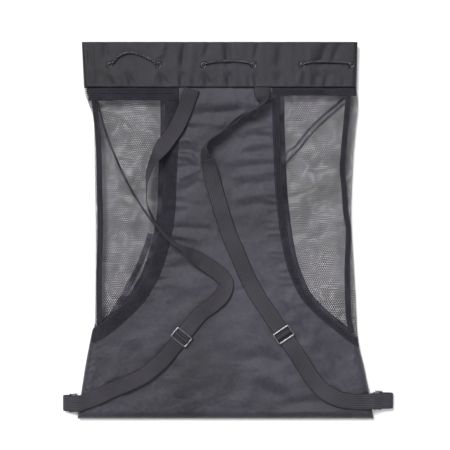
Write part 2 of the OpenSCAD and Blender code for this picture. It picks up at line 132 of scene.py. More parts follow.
# ---- meshes
def new_mesh(name, verts, faces, material, slot, body="bag", replaces=(), uvs=None):
    """A smooth mesh piece from millimetre vertices, riding on a body."""
    mesh = bpy.data.meshes.new(name)
    mesh.from_pydata((np.asarray(verts, float) * MM).tolist(), [], [tuple(int(i) for i in f) for f in faces])
    mesh.update()
    mesh.polygons.foreach_set("use_smooth", [True] * len(mesh.polygons))
    if uvs is not None:
        layer = mesh.uv_layers.new(name="UVMap")
        corner = np.zeros(len(mesh.loops), np.int32)
        mesh.loops.foreach_get("vertex_index", corner)
        layer.data.foreach_set("uv", (np.asarray(uvs, float)[corner] * MM).ravel())
    mesh.materials.append(material)
    obj = bpy.data.objects.new(name, mesh)
    scene.collection.objects.link(obj)
    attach(obj, body)
    if replaces:
        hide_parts(*replaces)
    return obj


def grid_faces(rows, cols, wrap_cols=False, wrap_rows=False):
    """Quads of a grid of rows times cols vertices."""
    r = np.arange(rows if wrap_rows else rows - 1)
    c = np.arange(cols if wrap_cols else cols - 1)
    rr, cc = np.meshgrid(r, c, indexing="ij")
    r2, c2 = (rr + 1) % rows, (cc + 1) % cols
    return np.stack([rr * cols + cc, rr * cols + c2, r2 * cols + c2, r2 * cols + cc], -1).reshape(-1, 4)


def capped_grid(rows, cols):
    """Faces of a tube of rows rings of cols vertices, closed at both ends."""
    faces = [tuple(f) for f in grid_faces(rows, cols, wrap_cols=True)]
    faces.append(tuple(range(cols - 1, -1, -1)))
    faces.append(tuple((rows - 1) * cols + i for i in range(cols)))
    return faces


def solid_sheet(obj, thickness, offset=-1.0):
    """Gives a sheet its thickness, on its inner side or, with offset 0, on both sides."""
    m = obj.modifiers.new("thickness", "SOLIDIFY")
    m.thickness = thickness * MM
    m.offset = offset
    m.use_even_offset = False


def swept(centres, across, up, profile):
    """Vertices of a profile of (across, up) pairs carried along centres."""
    section = np.asarray(profile, float)
    verts = centres[:, None] + section[..., :1] * across[:, None] + section[..., 1:] * up[:, None]
    return verts.reshape(-1, 3)


def sweep(centres, across, up, profile):
    """Vertices and faces of a closed profile swept along centres, with an end cap at each end."""
    return swept(centres, across, up, profile), capped_grid(len(centres), np.shape(profile)[-2])


def joined(parts):
    """One list of vertices and one of faces from several."""
    verts, faces, base = [], [], 0
    for v, f in parts:
        verts.append(np.asarray(v, float))
        faces += [tuple(i + base for i in face) for face in f]
        base += len(v)
    return np.vstack(verts), faces


# ---- materials
def principled(name, colour, rough, **sockets):
    """A material with constants on the Principled shader's own sockets."""
    material = bpy.data.materials.new(name)
    material.use_nodes = True
    inputs = material.node_tree.nodes["Principled BSDF"].inputs
    inputs["Base Color"].default_value = (*colour, 1.0)
    inputs["Roughness"].default_value = rough
    for key, value in sockets.items():
        inputs[key.replace("_", " ")].default_value = value
    return material


class Look:
    """A Principled material, with short ways to add nodes to it."""

    def __init__(self, name, colour, rough, space="Object", **sockets):
        """The space is the piece's own coordinates in metres (Object) or its UV map."""
        self.material = principled(name, colour, rough, **sockets)
        self.colour = colour
        self.nodes = self.material.node_tree.nodes
        self.link = self.material.node_tree.links.new
        self.inputs = self.nodes["Principled BSDF"].inputs
        self.where = self.nodes.new("ShaderNodeTexCoord").outputs[space]

    def node(self, kind, **values):
        """A node with constants on its sockets."""
        made = self.nodes.new(kind)
        for key, value in values.items():
            made.inputs[key.replace("_", " ")].default_value = value
        return made

    def noise(self, scale, detail=3.0, rough=0.5, distortion=0.0):
        """Cloudy values between 0 and 1."""
        made = self.node("ShaderNodeTexNoise", Scale=scale, Detail=detail, Roughness=rough,
                         Distortion=distortion)
        self.link(self.where, made.inputs["Vector"])
        return made.outputs["Fac"]

    def wave(self, scale, direction, distortion=0.0):
        """Sine bands along one direction."""
        made = self.node("ShaderNodeTexWave", Scale=scale, Distortion=distortion)
        made.bands_direction = direction
        made.wave_profile = "SIN"
        self.link(self.where, made.inputs["Vector"])
        return made.outputs["Fac"]

    def cells(self, scale, randomness):
        """Distance to the middle of the nearest of many small cells."""
        made = self.node("ShaderNodeTexVoronoi", Scale=scale, Randomness=randomness)
        self.link(self.where, made.inputs["Vector"])
        return made.outputs["Distance"]

    def maths(self, operation, a, b):
        """Two values joined by an operation; each is a number or a socket."""
        made = self.nodes.new("ShaderNodeMath")
        made.operation = operation
        for socket, value in zip(made.inputs, (a, b)):
            if isinstance(value, float):
                socket.default_value = value
            else:
                self.link(value, socket)
        return made.outputs[0]

    def mixed(self, *terms):
        """Sum of (value, weight) terms."""
        scaled = [self.maths("MULTIPLY", value, weight) for value, weight in terms]
        total = scaled[0]
        for part in scaled[1:]:
            total = self.maths("ADD", total, part)
        return total

    def ramp(self, value, low, high, start=0.35, end=0.65):
        """Colours the piece from low to high as the value goes from start to end."""
        made = self.nodes.new("ShaderNodeValToRGB")
        first, last = made.color_ramp.elements
        first.color = (*low, 1.0)
        last.color = (*high, 1.0)
        first.position = start
        last.position = end
        self.link(value, made.inputs[0])
        self.link(made.outputs[0], self.inputs["Base Color"])

    def tone(self, value, dark, light, start=0.35, end=0.65):
        """Varies the piece's own colour between two shares of it."""
        low, high = [tuple(part * share for part in self.colour) for share in (dark, light)]
        self.ramp(value, low, high, start, end)

    def roughness(self, value, low, high):
        """Varies the roughness from low to high with the value."""
        made = self.node("ShaderNodeMapRange", To_Min=low, To_Max=high)
        self.link(value, made.inputs["Value"])
        self.link(made.outputs[0], self.inputs["Roughness"])

    def bump(self, height, distance, before=None):
        """Bumps the surface by distance metres, on top of an earlier bump."""
        made = self.node("ShaderNodeBump", Strength=1.0, Distance=distance)
        self.link(height, made.inputs["Height"])
        if before is not None:
            self.link(before, made.inputs["Normal"])
        self.link(made.outputs[0], self.inputs["Normal"])
        return made.outputs[0]


def nylon_material(name, colour, spec):
    """Calendered nylon: fine plain weave, faint crinkle and a satin sheen."""
    look = Look(name, colour, 0.42, Sheen_Weight=0.03, Sheen_Roughness=0.4,
                Specular_IOR_Level=spec, Specular_Tint=(0.96, 0.95, 1.0, 1.0))
    cloud = look.noise(5.5, 4.0, 0.55)
    grain = look.noise(160.0, 3.0, 0.6)
    look.tone(look.mixed((cloud, 0.75), (grain, 0.25)), 0.5, 1.7, 0.38, 0.62)
    weave = look.maths("ADD", look.wave(420.0, "X"), look.wave(420.0, "Y"))
    crinkle = look.noise(55.0, 5.0, 0.6, 0.6)
    look.bump(crinkle, 0.0008, look.bump(weave, 0.00006))
    look.roughness(cloud, 0.36, 0.48)
    return look.material


def net_material(name, colour):
    """Matte knitted polyester yarn with a twisted grain, and wispy light and dark streaks of painted sheen in
    its colour.
    """
    look = Look(name, colour, 0.7, Sheen_Weight=0.08, Specular_IOR_Level=0.25)
    # Wispy streaks in the colour: painted sheen where the folded layers of net catch the light.
    look.tone(look.noise(17.0, 4.0, 0.6, 1.6), 0.45, 2.6, 0.42, 0.64)
    look.bump(look.noise(900.0, 2.0), 0.0003)
    return look.material


def tape_material(name, colour):
    """Tape folded from doubled net: rows of small holes in a knitted ground, coloured dark as painted shade
    inside them.
    """
    look = Look(name, colour, 0.85, Sheen_Weight=0.03, Specular_IOR_Level=0.12)
    holes = look.cells(330.0, 0.25)
    # The holes are darkened with painted shade; the same cells also bump the surface.
    look.tone(look.mixed((holes, 0.8), (look.noise(30.0), 0.35)), 0.15, 3.0, 0.2, 0.6)
    look.bump(holes, 0.0008)
    return look.material


def webbing_material(name, colour):
    """Flat woven webbing: lengthwise ribs crossed by fine picks, with a slight sheen."""
    look = Look(name, colour, 0.5, "UV", Sheen_Weight=0.05, Sheen_Roughness=0.4, Specular_IOR_Level=0.3)
    ribs = look.wave(110.0, "X")
    picks = look.wave(210.0, "Y", 0.6)
    look.tone(look.mixed((ribs, 0.25), (picks, 0.15), (look.noise(16.0), 0.6)), 0.5, 1.5, 0.38, 0.62)
    look.bump(picks, 0.00025, look.bump(ribs, 0.00035))
    return look.material


def cord_material(name, colour, strand_highlight):
    """Braided cord: lighter flecks of painted highlight where the strands rise, in a dark ground."""
    look = Look(name, colour, 0.6, "UV", Sheen_Weight=0.02, Specular_IOR_Level=0.15)
    strands = look.wave(150.0, "DIAGONAL")
    # The light flecks are a painted highlight where the strands rise.
    look.ramp(look.mixed((strands, 0.7), (look.noise(300.0), 0.4)), colour, strand_highlight, 0.83, 0.93)
    look.bump(look.noise(1400.0, 2.0), 0.0003)
    return look.material


def thread_material(name, colour):
    """Twisted sewing thread."""
    look = Look(name, colour, 0.6, Sheen_Weight=0.2)
    look.tone(look.noise(1200.0, 2.0), 0.6, 1.4)
    return look.material


def metal_material(name, colour, rough):
    """Plated metal with faint brushing and worn lighter spots."""
    look = Look(name, colour, rough, Metallic=1.0)
    wear = look.noise(220.0, 5.0, 0.6)
    look.tone(wear, 0.75, 1.25, 0.3, 0.7)
    look.roughness(wear, rough * 0.7, rough * 1.4)
    look.bump(look.noise(1500.0, 2.0), 0.00004)
    return look.material


def plastic_material(name, colour):
    """Moulded plastic with a fine spark-eroded grain."""
    look = Look(name, colour, 0.45, Specular_IOR_Level=0.5)
    look.tone(look.noise(120.0), 0.8, 1.3)
    look.bump(look.noise(1800.0, 2.0), 0.00006)
    return look.material


NYLON = nylon_material("nylon_panel", (0.0212, 0.0199, 0.0282), 0.36)
COLLAR = nylon_material("nylon_collar", (0.0094, 0.0087, 0.0126), 0.30)
NET = net_material("net_yarn", (0.034, 0.031, 0.041))
TAPE = tape_material("binding_tape", (0.0075, 0.0070, 0.0095))
WEBBING = webbing_material("strap_webbing", (0.024, 0.0222, 0.029))
# The cord's last colour is the painted highlight on its strands.
CORD = cord_material("braided_cord", (0.0015, 0.0015, 0.0018), (0.42, 0.40, 0.43))
THREAD = thread_material("stitch_thread", (0.016, 0.015, 0.018))
EYELET = metal_material("eyelet_nickel", (0.085, 0.084, 0.09), 0.36)
GUNMETAL = metal_material("gunmetal_plate", (0.19, 0.188, 0.20), 0.30)
RING_METAL = metal_material("ring_plate", (0.42, 0.42, 0.43), 0.26)
SPRING = metal_material("spring_wire", (0.55, 0.55, 0.56), 0.25)
PLASTIC = plastic_material("lock_plastic", (0.015, 0.015, 0.016))

# ---- strap stations
STRAP_W = 25.0
STRAP_T = 1.5
BACK_TOP = 18.4
SLIDERS = {"left": ((-74.6, -170.2), -129.0), "right": ((88.6, -166.2), -56.0)}
SLIDER_LIFT = 3.3
RUN_LIFT = 2.2


def on_run(side, s, el):
    """Station a distance s along the straight run that a slider sits on."""
    (x, y), heading = SLIDERS[side]
    h = math.radians(heading)
    return (x + s * math.cos(h), y + s * math.sin(h), RUN_LIFT, heading + 90.0, el)


def round_ring(y, azimuth, elevation, *points):
    """Stations in one upright plane, where a strap goes round its ring: their x and height."""
    return [(x, y, z, azimuth, elevation) for x, z in points]


# Middle of the webbing, its height over the back sheet, and the azimuth and elevation of its width.
LEFT_STATIONS = [
    (-58, 226.4, 1.4, -12, 0), (-61, 216, 2.1, -14, 0), (-70, 192, 1.7, -22, 0),
    (-82, 166, 1.9, -26, 0), (-94, 148, 2.6, -34, 4), (-104, 134, 5.0, -34, 14),
    (-114, 119, 9.4, -32, 38), (-122, 105, 12.6, -28, 62), (-128, 86, 13.8, -16, 80),
    (-130, 64, 13.6, -2, 88), (-129, 43, 13.6, 4, 90), (-121, 22, 13.6, 20, 90),
    (-109, 4, 13.6, 36, 90), (-94, -13, 13.8, 44, 92), (-76, -26, 13.6, 50, 106),
    (-60, -37, 10.8, 52, 134), (-44, -48, 6.0, 54, 160), (-28, -59, 2.6, 54, 176),
    (-13, -70, 1.7, 44, 180), (-4, -84, 1.7, 10, 180), (-8, -101, 1.7, -28, 180),
    (-24, -118, 2.0, -42, 180),
    on_run("left", -45, 180), on_run("left", 0, 180), on_run("left", 45, 180),
    (-114, -215, 3.8, -48, 180), (-134, -231, 6.0, -56, 180), (-158, -243, 5.4, -66, 180),
    (-182, -253, 4.0, -68, 180), (-206, -264, 3.8, -70, 180), (-228, -273, 3.8, -80, 180),
    (-237, -276, 4.0, -88, 180),
    *round_ring(-277, -90, 180, (-243, 2.4), (-250, -1.2), (-256.5, -5.0), (-261.5, -7.4),
                (-264.65, -11.4), (-262.5, -15.8), (-257.5, -17.4), (-252.9, -16.2), (-250.9, -12.9),
                (-250.1, -8.9), (-247, -5.4), (-243.2, -1.6), (-239.8, 1.2)),
    (-235, -276, 1.7, -88, 180), (-228, -273, 1.7, -80, 180),
    (-206, -264, 1.7, -70, 180), (-182, -253, 1.7, -68, 180), (-158, -242, 1.7, -66, 180),
    (-136, -230, 1.7, -58, 180)]
RIGHT_STATIONS = [
    (54, 229, 1.0, 0, 0), (54, 224, 3.0, 0, 6), (55, 218, 6.6, 0, 22), (56, 209, 11.8, -8, 54),
    (51, 200, 13.6, -30, 84), (41, 193, 13.6, -60, 90), (22, 184, 13.6, -62, 90),
    (4, 170, 13.6, -52, 90), (-14, 156, 13.6, -46, 90), (-30, 144, 13.6, -30, 88),
    (-37, 132, 13.2, -4, 70), (-35, 116, 9.6, 8, 38), (-30, 100, 4.2, 12, 10),
    (-25, 81, 1.7, 14, 0), (-19, 60, 1.7, 14, 0), (-13, 39, 1.7, 16, 0), (-6, 16, 1.9, 19, 0),
    (3, -10, 1.7, 24, 0), (16, -40, 1.7, 26, 0), (32, -77, 1.7, 30, 0), (48, -106, 1.9, 33, 0),
    on_run("right", -40, 0), on_run("right", 0, 0), on_run("right", 45, 0),
    (127, -225, 3.8, 35, 0), (141, -244, 6.0, 42, 0), (158, -260, 5.6, 54, 0),
    (180, -270, 4.4, 72, 0), (204, -273, 3.8, 86, 0),
    *round_ring(-273, 90, 0, (219, 3.8), (228, 4.0), (234, 2.4), (241, -1.2), (248, -4.6), (256, -5.8),
                (262, -7.2), (264.65, -11.2), (262, -15.4), (255, -17.0), (248.5, -17.4), (243.9, -16.2),
                (241.9, -12.9), (241.1, -8.9), (238, -5.4), (234.2, -1.6), (230.6, 1.2), (226, 1.7)),
    (204, -273, 1.7, 86, 0),
    (180, -269, 1.7, 72, 0), (160, -258, 1.7, 54, 0)]
STATIONS = {"left": LEFT_STATIONS, "right": RIGHT_STATIONS}

# ---- outline of the bag
SEAM_Y = 230.0
BOTTOM_Y = -302.0
MOUTH_Y = 302.0
WINDOW_END_Y = -166.0
FRONT_TILT = math.radians(8.5)
LEFT_EDGE = [(-231, 230), (-228, 214), (-217, 182), (-215, 139), (-214, 68), (-213, 0),
             (-214, -140), (-218, -160), (-223, -184), (-231, -228), (-242, BOTTOM_Y)]
RIGHT_EDGE = [(206, 230), (209, 198), (205, 156), (201, 103), (198, 17), (202, -50),
              (205, -103), (208, -164), (211, -188), (220, -226), (234, BOTTOM_Y)]
LEFT_SEAM = [(-90, 230), (-90, 150), (-93, 94), (-95, 40), (-99, 5), (-107, -30), (-117, -62),
             (-128, -84), (-145, -110), (-168, -133), (-198, -158), (-222, -170)]
RIGHT_SEAM = [(77, 230), (77, 172), (79, 120), (81, 70), (86, 20), (91, -15), (97, -45),
              (104, -68), (117, -97), (130, -115), (150, -135), (171, -152), (196, -172), (216, -184)]
LEFT_SIDE = [(-215, 218), (-208, 139), (-206, 68), (-205, 0), (-207, -79), (-206, -152)]
RIGHT_SIDE = [(193, 218), (190, 185), (185, 129), (183, 97), (186, 65), (189, 25), (193, 0),
              (191, -50), (191, -85), (193, -138), (198, -164)]
FRONT_SHIFT = {"left": -13.0, "right": 8.0}
TAPE_WIDTH = 12.0
TAPE_T = 0.75
SIDE_TAPE = 9.0
INNER_TAPE = {"left": 22.0, "right": TAPE_WIDTH}
TAPE_TOP_Y = {"left": 212.0, "right": 218.0}
EDGE_POINTS = {"left": LEFT_EDGE, "right": RIGHT_EDGE}
SEAM_POINTS = {"left": LEFT_SEAM, "right": RIGHT_SEAM}
SIDE_POINTS = {"left": LEFT_SIDE, "right": RIGHT_SIDE}
FAR_OUT = {"left": -900.0, "right": 900.0}


def x_of(points, below=None):
    """x as a function of y along a curve that runs down the bag; past its lower end it is below."""
    c = catmull(points, 8)[::-1]
    low = c[0, 0] if below is None else below
    return lambda y: np.interp(y, c[:, 1], c[:, 0], left=low)


EDGE = {name: x_of(EDGE_POINTS[name]) for name in SIDES}
SEAM = {name: x_of(SEAM_POINTS[name], FAR_OUT[name]) for name in SIDES}
SIDE = {name: x_of(SIDE_POINTS[name], FAR_OUT[name]) for name in SIDES}
edge_left, edge_right = EDGE["left"], EDGE["right"]
seam_left, seam_right = SEAM["left"], SEAM["right"]

# ---- heights of the two sheets
TOP_Z = 18.75
LOW_Z = 0.75
MID_Z = 6.6
COLLAR_MID_Z = 9.3
RISE_Y = 170.0
ROLL = 13.0
TOP_LIMIT = 19.2
SOFTNESS = 0.35
FOLD_ROOM = 1.6
FREE_RISE = 5.0
STRAP_REACH = 13.0
STRAP_FADE = 14.0
WINDOW_FADE = 12.0
FLOOR_GAP = 0.12
GROOVE_DEPTH = 1.8
GROOVE_WIDTH = 2.6


def smooth(t):
    """Smooth step from 0 to 1 as t goes from 0 to 1."""
    t = np.clip(t, 0.0, 1.0)
    return t * t * (3 - 2 * t)


def mid_height(y):
    """Height of the outline, which rises to the middle of the collar's turned side."""
    return MID_Z + (COLLAR_MID_Z - MID_Z) * smooth((y - RISE_Y) / (SEAM_Y - RISE_Y))


def roundness(s):
    """From 0 at the outline to 1 a roll's width inside it, as a quarter of an ellipse."""
    q = 1.0 - np.clip(s / ROLL, 0.0, 1.0)
    return np.sqrt(np.maximum(0.0, 1.0 - q * q))


def inset(x, y):
    """Distance in from the outline of the body."""
    return np.maximum(0.0, np.minimum(np.minimum(x - edge_left(y), edge_right(y) - x), y - BOTTOM_Y))


def waves(x, y, seed, count, shortest, longest, stretch=1.0):
    """Smooth noise between about -1 and 1, as a sum of plane waves."""
    r = np.random.default_rng(seed)
    total = np.zeros_like(x)
    for _ in range(count):
        length = shortest * (longest / shortest) ** r.random()
        angle = r.random() * math.pi
        kx = math.cos(angle) * 2 * math.pi / length * stretch
        ky = math.sin(angle) * 2 * math.pi / length
        total = total + np.sin(kx * x + ky * y + r.random() * 2 * math.pi)
    return total / math.sqrt(count)


def fold(x, y, path, height, width):
    """A ridge, or a valley where height is below 0, along a path, dying out at its ends."""
    p = catmull(path, 5) if len(path) > 2 else np.asarray(path, float)
    s = lengths_along(p)
    best = np.full_like(x, 1e9)
    where = np.zeros_like(x)
    for i in range(len(p) - 1):
        d = p[i + 1] - p[i]
        t = np.clip(((x - p[i, 0]) * d[0] + (y - p[i, 1]) * d[1]) / max(TINY, d @ d), 0.0, 1.0)
        gap = np.hypot(x - p[i, 0] - t * d[0], y - p[i, 1] - t * d[1])
        nearer = gap < best
        best = np.where(nearer, gap, best)
        where = np.where(nearer, (s[i] + t * (s[i + 1] - s[i])) / s[-1], where)
    return height * np.exp(-(best / width) ** 2) * np.sqrt(np.maximum(0.0, np.sin(math.pi * where)))


def folds(x, y, table, tall=1.0, wide=1.0):
    """Sum of the folds of a table, all made taller and wider by the same shares."""
    total = np.zeros_like(x)
    for path, height, width in table:
        total = total + tall * fold(x, y, path, height, wide * width)
    return total


# Folds of the back panel: path, height, width.
BACK_FOLDS = [
    ([(-64, 184), (-36, 188), (-6, 190), (24, 194)], -3.0, 6.0),
    ([(-70, 204), (-40, 206), (-6, 207), (34, 210)], 2.0, 9.0),
    ([(-66, 172), (-40, 174), (-14, 170), (14, 158)], 1.6, 6.0),
    ([(-10, 168), (14, 150), (38, 144)], -2.0, 9.0),
    ([(24, 204), (46, 202), (76, 205)], 1.6, 5.0),
    ([(28, 188), (50, 180), (76, 186)], -2.2, 5.0),
    ([(30, 164), (52, 166), (76, 168)], 2.0, 5.5),
    ([(26, 152), (50, 152), (76, 148)], -2.2, 5.0),
    ([(22, 134), (48, 140), (78, 138)], 2.0, 5.0),
    ([(20, 124), (48, 126), (78, 126)], -1.8, 4.5),
    ([(-6, 108), (30, 116), (78, 117)], 1.8, 6.0),
    ([(6, 96), (40, 104), (80, 104)], -2.0, 5.0),
    ([(2, 84), (36, 90), (80, 92)], 1.8, 6.0),
    ([(14, 74), (44, 76), (80, 74)], -1.8, 5.5),
    ([(8, 50), (40, 56), (80, 60)], 1.6, 7.0),
    ([(12, 36), (44, 42), (80, 40)], -1.5, 7.0),
    ([(-86, 160), (-66, 166), (-50, 160)], -2.0, 5.0),
    ([(-84, 142), (-66, 146), (-50, 136)], 1.8, 5.0),
    ([(-84, 128), (-64, 130), (-48, 122)], -2.0, 4.5),
    ([(-86, 116), (-66, 118), (-50, 110)], 2.2, 4.5),
    ([(-84, 98), (-64, 104), (-46, 100)], -2.2, 4.5),
    ([(-88, 80), (-66, 88), (-46, 98)], 2.4, 4.5),
    ([(-86, 60), (-66, 68), (-44, 82)], -2.6, 5.0),
    ([(-92, 6), (-66, 4), (-34, 2), (-20, -4)], -2.2, 5.0),
    ([(-96, -8), (-70, -10), (-42, -16)], 2.0, 5.0),
    ([(-104, -22), (-84, -30), (-66, -34)], -1.8, 5.0),
    ([(-112, -52), (-84, -58), (-58, -56), (-34, -66)], -2.6, 8.0),
    ([(-108, -84), (-76, -88), (-44, -96)], 2.0, 9.0),
    ([(10, -98), (26, -92), (44, -84)], -1.6, 4.0),
    ([(44, -64), (54, -84), (64, -104)], -1.6, 4.0),
    ([(84, -112), (92, -128), (96, -142)], -2.2, 4.5),
    ([(96, -106), (108, -122), (122, -138)], 1.8, 5.0),
    ([(108, -146), (116, -162), (116, -182)], -2.4, 7.0),
    ([(140, -150), (134, -172), (136, -196)], 1.6, 8.0),
    ([(-6, -204), (24, -206), (58, -204), (92, -212)], -3.0, 10.0),
    ([(14, -214), (12, -240), (8, -268)], -2.6, 9.0),
    ([(36, -246), (62, -258), (96, -266)], -2.8, 8.0),
    ([(26, -284), (34, -262), (42, -248)], 2.4, 8.0),
    ([(48, -226), (76, -238), (104, -250)], 2.4, 9.0),
    ([(70, -282), (110, -276), (150, -274), (186, -280)], -3.0, 8.0),
    ([(84, -294), (130, -290), (180, -292)], 1.8, 6.0),
    ([(-60, -206), (-72, -234), (-78, -268)], 2.0, 12.0),
    ([(-110, -184), (-96, -206), (-92, -236)], -2.0, 10.0),
    ([(-156, -176), (-150, -196), (-146, -226)], -2.4, 10.0),
    ([(-186, -190), (-180, -214), (-186, -244)], 2.0, 10.0),
    ([(-204, -204), (-206, -232), (-214, -262)], -1.8, 8.0),
    ([(178, -200), (172, -226), (176, -258)], -1.8, 9.0),
    ([(196, -200), (200, -226), (206, -256)], 1.6, 8.0),
]

# Folds of the nets: path, height, width.
NET_FOLDS = [
    ([(-196, 196), (-170, 170), (-150, 130), (-130, 100)], 3.0, 6.0),
    ([(-160, 200), (-140, 176), (-122, 150)], -3.0, 6.0),
    ([(-198, 150), (-180, 120), (-168, 84), (-150, 50)], -3.0, 6.0),
    ([(-196, 110), (-186, 70), (-176, 30)], 2.6, 6.0),
    ([(-140, 110), (-150, 70), (-160, 30)], 2.8, 7.0),
    ([(-190, 20), (-172, -14), (-160, -50)], -3.2, 7.0),
    ([(-150, 10), (-156, -30), (-170, -70)], 3.0, 6.0),
    ([(-196, -20), (-190, -60), (-188, -100)], 2.8, 6.0),
    ([(-130, 40), (-142, 0), (-146, -34)], -2.6, 6.0),
    ([(-178, -70), (-188, -104), (-196, -130)], -3.0, 6.0),
    ([(96, 204), (120, 186), (150, 190)], 2.6, 7.0),
    ([(110, 170), (128, 150), (150, 140)], -2.6, 7.0),
    ([(92, 90), (98, 50), (104, 10), (116, -30)], 3.0, 5.0),
    ([(104, 96), (112, 56), (114, 16), (124, -20)], -3.0, 5.0),
    ([(140, 150), (156, 120), (178, 100)], 2.6, 7.0),
    ([(130, 90), (150, 60), (176, 44)], -2.8, 8.0),
    ([(126, 50), (146, 20), (180, 6)], 2.6, 8.0),
    ([(120, 10), (140, -26), (172, -50)], -3.0, 8.0),
    ([(130, -30), (146, -60), (176, -90)], 2.8, 7.0),
    ([(140, -70), (156, -96), (184, -120)], -2.8, 7.0),
]


def net_wrinkles(x, y):
    """Folds and loose waves of the nets."""
    return 0.5 * waves(x, y, 8, 12, 30.0, 90.0) + folds(x, y, NET_FOLDS)


# Puckers beside each inner binding: the y they start and end at, and their spacing.
PUCKERS = {"left": (205.0, -120.0, 8.0), "right": (212.0, -130.0, 8.5)}


def binding_puckers(x, y):
    """Short ridges that run in from the two inner bindings, where the nylon is gathered."""
    r = np.random.default_rng(23)
    total = np.zeros_like(x)
    for name, (start, end, gap) in PUCKERS.items():
        inward = INWARD[name]
        at = start
        while at > end:
            x0 = float(SEAM[name](at)) + inward * 4.0
            reach = 14.0 + 18.0 * r.random()
            rise = (r.random() - 0.5) * 10.0
            height = (0.35 + 0.6 * r.random()) * (1.0 if r.random() > 0.4 else -1.0)
            path = [(x0 - inward * 12.0, at - rise * 0.3), (x0 + inward * reach, at + rise)]
            total = total + fold(x, y, path, height, 2.6 + 1.6 * r.random())
            at -= gap * (0.7 + 0.7 * r.random())
    return total


def seam_ripple(x, y, s):
    """Gathers along the sewn side and bottom edges."""
    return 0.55 * np.exp(-s / 12.0) * waves(x, y, 31, 10, 7.0, 14.0)


def wrinkles(x, y):
    """Waves, creases, folds and puckers of the nylon."""
    total = 0.45 * waves(x, y, 3, 12, 60.0, 160.0) + 0.22 * waves(x, y, 4, 14, 22.0, 50.0)
    fine = 1.0 - np.abs(waves(x, y, 5, 9, 26.0, 60.0))
    total = total + 0.35 * np.clip(fine, 0.0, 1.0) ** 2
    return total + folds(x, y, BACK_FOLDS, 0.8, 1.1) + binding_puckers(x, y)


def soft_limit(z, top):
    """Presses z down softly so that it stays under top."""
    return -SOFTNESS * np.logaddexp(-z / SOFTNESS, -top / SOFTNESS)


def strap_gap(x, y):
    """Distance to the nearest middle line of a strap, where the strap lies low."""
    best = np.full(x.shape, 1e9)
    for stations in STATIONS.values():
        c = catmull(stations, 3)
        for q in c[(c[:, 2] < 8.0) & (c[:, 2] > 0.0)]:
            best = np.minimum(best, (x - q[0]) ** 2 + (y - q[1]) ** 2)
    return np.sqrt(best)


def window_share(x, y):
    """1 well inside a mesh window, 0 on the nylon."""
    depth = np.maximum(seam_left(y) - x, x - seam_right(y))
    return np.clip(depth / WINDOW_FADE, 0.0, 1.0)


def back_height(x, y):
    """Top face of the strap side's sheet."""
    s = inset(x, y)
    share = window_share(x, y)
    z = (TOP_Z - FOLD_ROOM + (1.0 - share) * wrinkles(x, y) + share * net_wrinkles(x, y)
         + seam_ripple(x, y, s) * (y < WINDOW_END_Y + 20))
    z = soft_limit(z, TOP_LIMIT + FREE_RISE * smooth((strap_gap(x, y) - STRAP_REACH) / STRAP_FADE))
    z = z - GROOVE_DEPTH * np.exp(-((y - SEAM_Y) / GROOVE_WIDTH) ** 2)
    mid = mid_height(y)
    return mid + (z - mid) * roundness(s)


def front_height(x, y):
    """Bottom face of the bag, which rests on the floor."""
    s = inset(x, y)
    z = LOW_Z + 0.35 * (1.0 + waves(x, y, 41, 12, 40.0, 120.0)).clip(0.0, 2.0)
    mid = mid_height(y)
    return np.maximum(FLOOR_GAP, mid - (mid - z) * roundness(s))


# ---- panels
NYLON_T = 0.4
LAST_ROWS = 8
LAST_SHARE = 0.02


def bunched(n):
    """n numbers from 0 to 1 that crowd together at both ends."""
    u = np.linspace(0.0, 1.0, n)
    return u - 0.86 * np.sin(2 * math.pi * u) / (2 * math.pi)


def panel(name, front, rows, cols, y_top, node_name):
    """The nylon sheet of one face, between the window seams and the sides, finer at the bottom."""
    last = np.linspace(0.0, 1.0, LAST_ROWS + 1)[:-1] ** 2 * LAST_SHARE
    share = np.concatenate([last, np.linspace(LAST_SHARE, 1.0, rows - LAST_ROWS)])
    ys = BOTTOM_Y + (y_top - BOTTOM_Y) * share
    low = np.maximum(edge_left(ys), seam_left(ys) + front * FRONT_SHIFT["left"])
    high = np.minimum(edge_right(ys), seam_right(ys) + front * FRONT_SHIFT["right"])
    x = low[:, None] + (high - low)[:, None] * bunched(cols)
    y = np.repeat(ys[:, None], cols, 1)
    z = front_height(x, y) if front else back_height(x, y)
    faces = grid_faces(rows, cols)
    obj = new_mesh(name, np.stack([x, y, z], -1).reshape(-1, 3), faces[:, ::-1] if front else faces,
                   NYLON, "nylon", replaces=[node_name], uvs=np.stack([x, y], -1).reshape(-1, 2))
    solid_sheet(obj, NYLON_T)


panel("panel_back", False, 268, 150, SEAM_Y + 1.0, "back_panel")
panel("panel_front", True, 150, 110, SEAM_Y - 0.5, "front_panel")

# ---- nets
PITCH = 3.0
HOLE = 0.75
NET_SPAN = {"left": (-232.0, -88.0), "right": (74.0, 212.0)}
ARC_SPAN = (-60.0, 150.0)
BACK_LOW_Y = -182.0
FRONT_LOW_Y = -190.0
BELOW = 2.0


def fold_table(half):
    """Arc length and inset along the rolled edge, for a quarter ellipse of the given height."""
    a = np.linspace(0.0, math.pi / 2, 60)
    pts = np.column_stack([ROLL * (1 - np.cos(a)), half * np.sin(a)])
    return lengths_along(pts), pts[:, 0]


ARC_TOP, INSET_TOP = fold_table(TOP_Z - MID_Z)
ARC_LOW, INSET_LOW = fold_table(MID_Z - LOW_Z)


def inset_from_arc(a):
    """Distance in from the outline of a point a along the cloth; below 0 it is on the strap side."""
    top = np.where(-a < ARC_TOP[-1], np.interp(-a, ARC_TOP, INSET_TOP), -a - ARC_TOP[-1] + ROLL)
    low = np.where(a < ARC_LOW[-1], np.interp(a, ARC_LOW, INSET_LOW), a - ARC_LOW[-1] + ROLL)
    return np.where(a < 0, top, low)


def arc_from_inset(s, top):
    """Length along the cloth, from the middle of the edge, to a point s in from the outline."""
    arc, ins = (ARC_TOP, INSET_TOP) if top else (ARC_LOW, INSET_LOW)
    return np.where(s < ROLL, np.interp(s, ins, arc), s - ROLL + arc[-1])


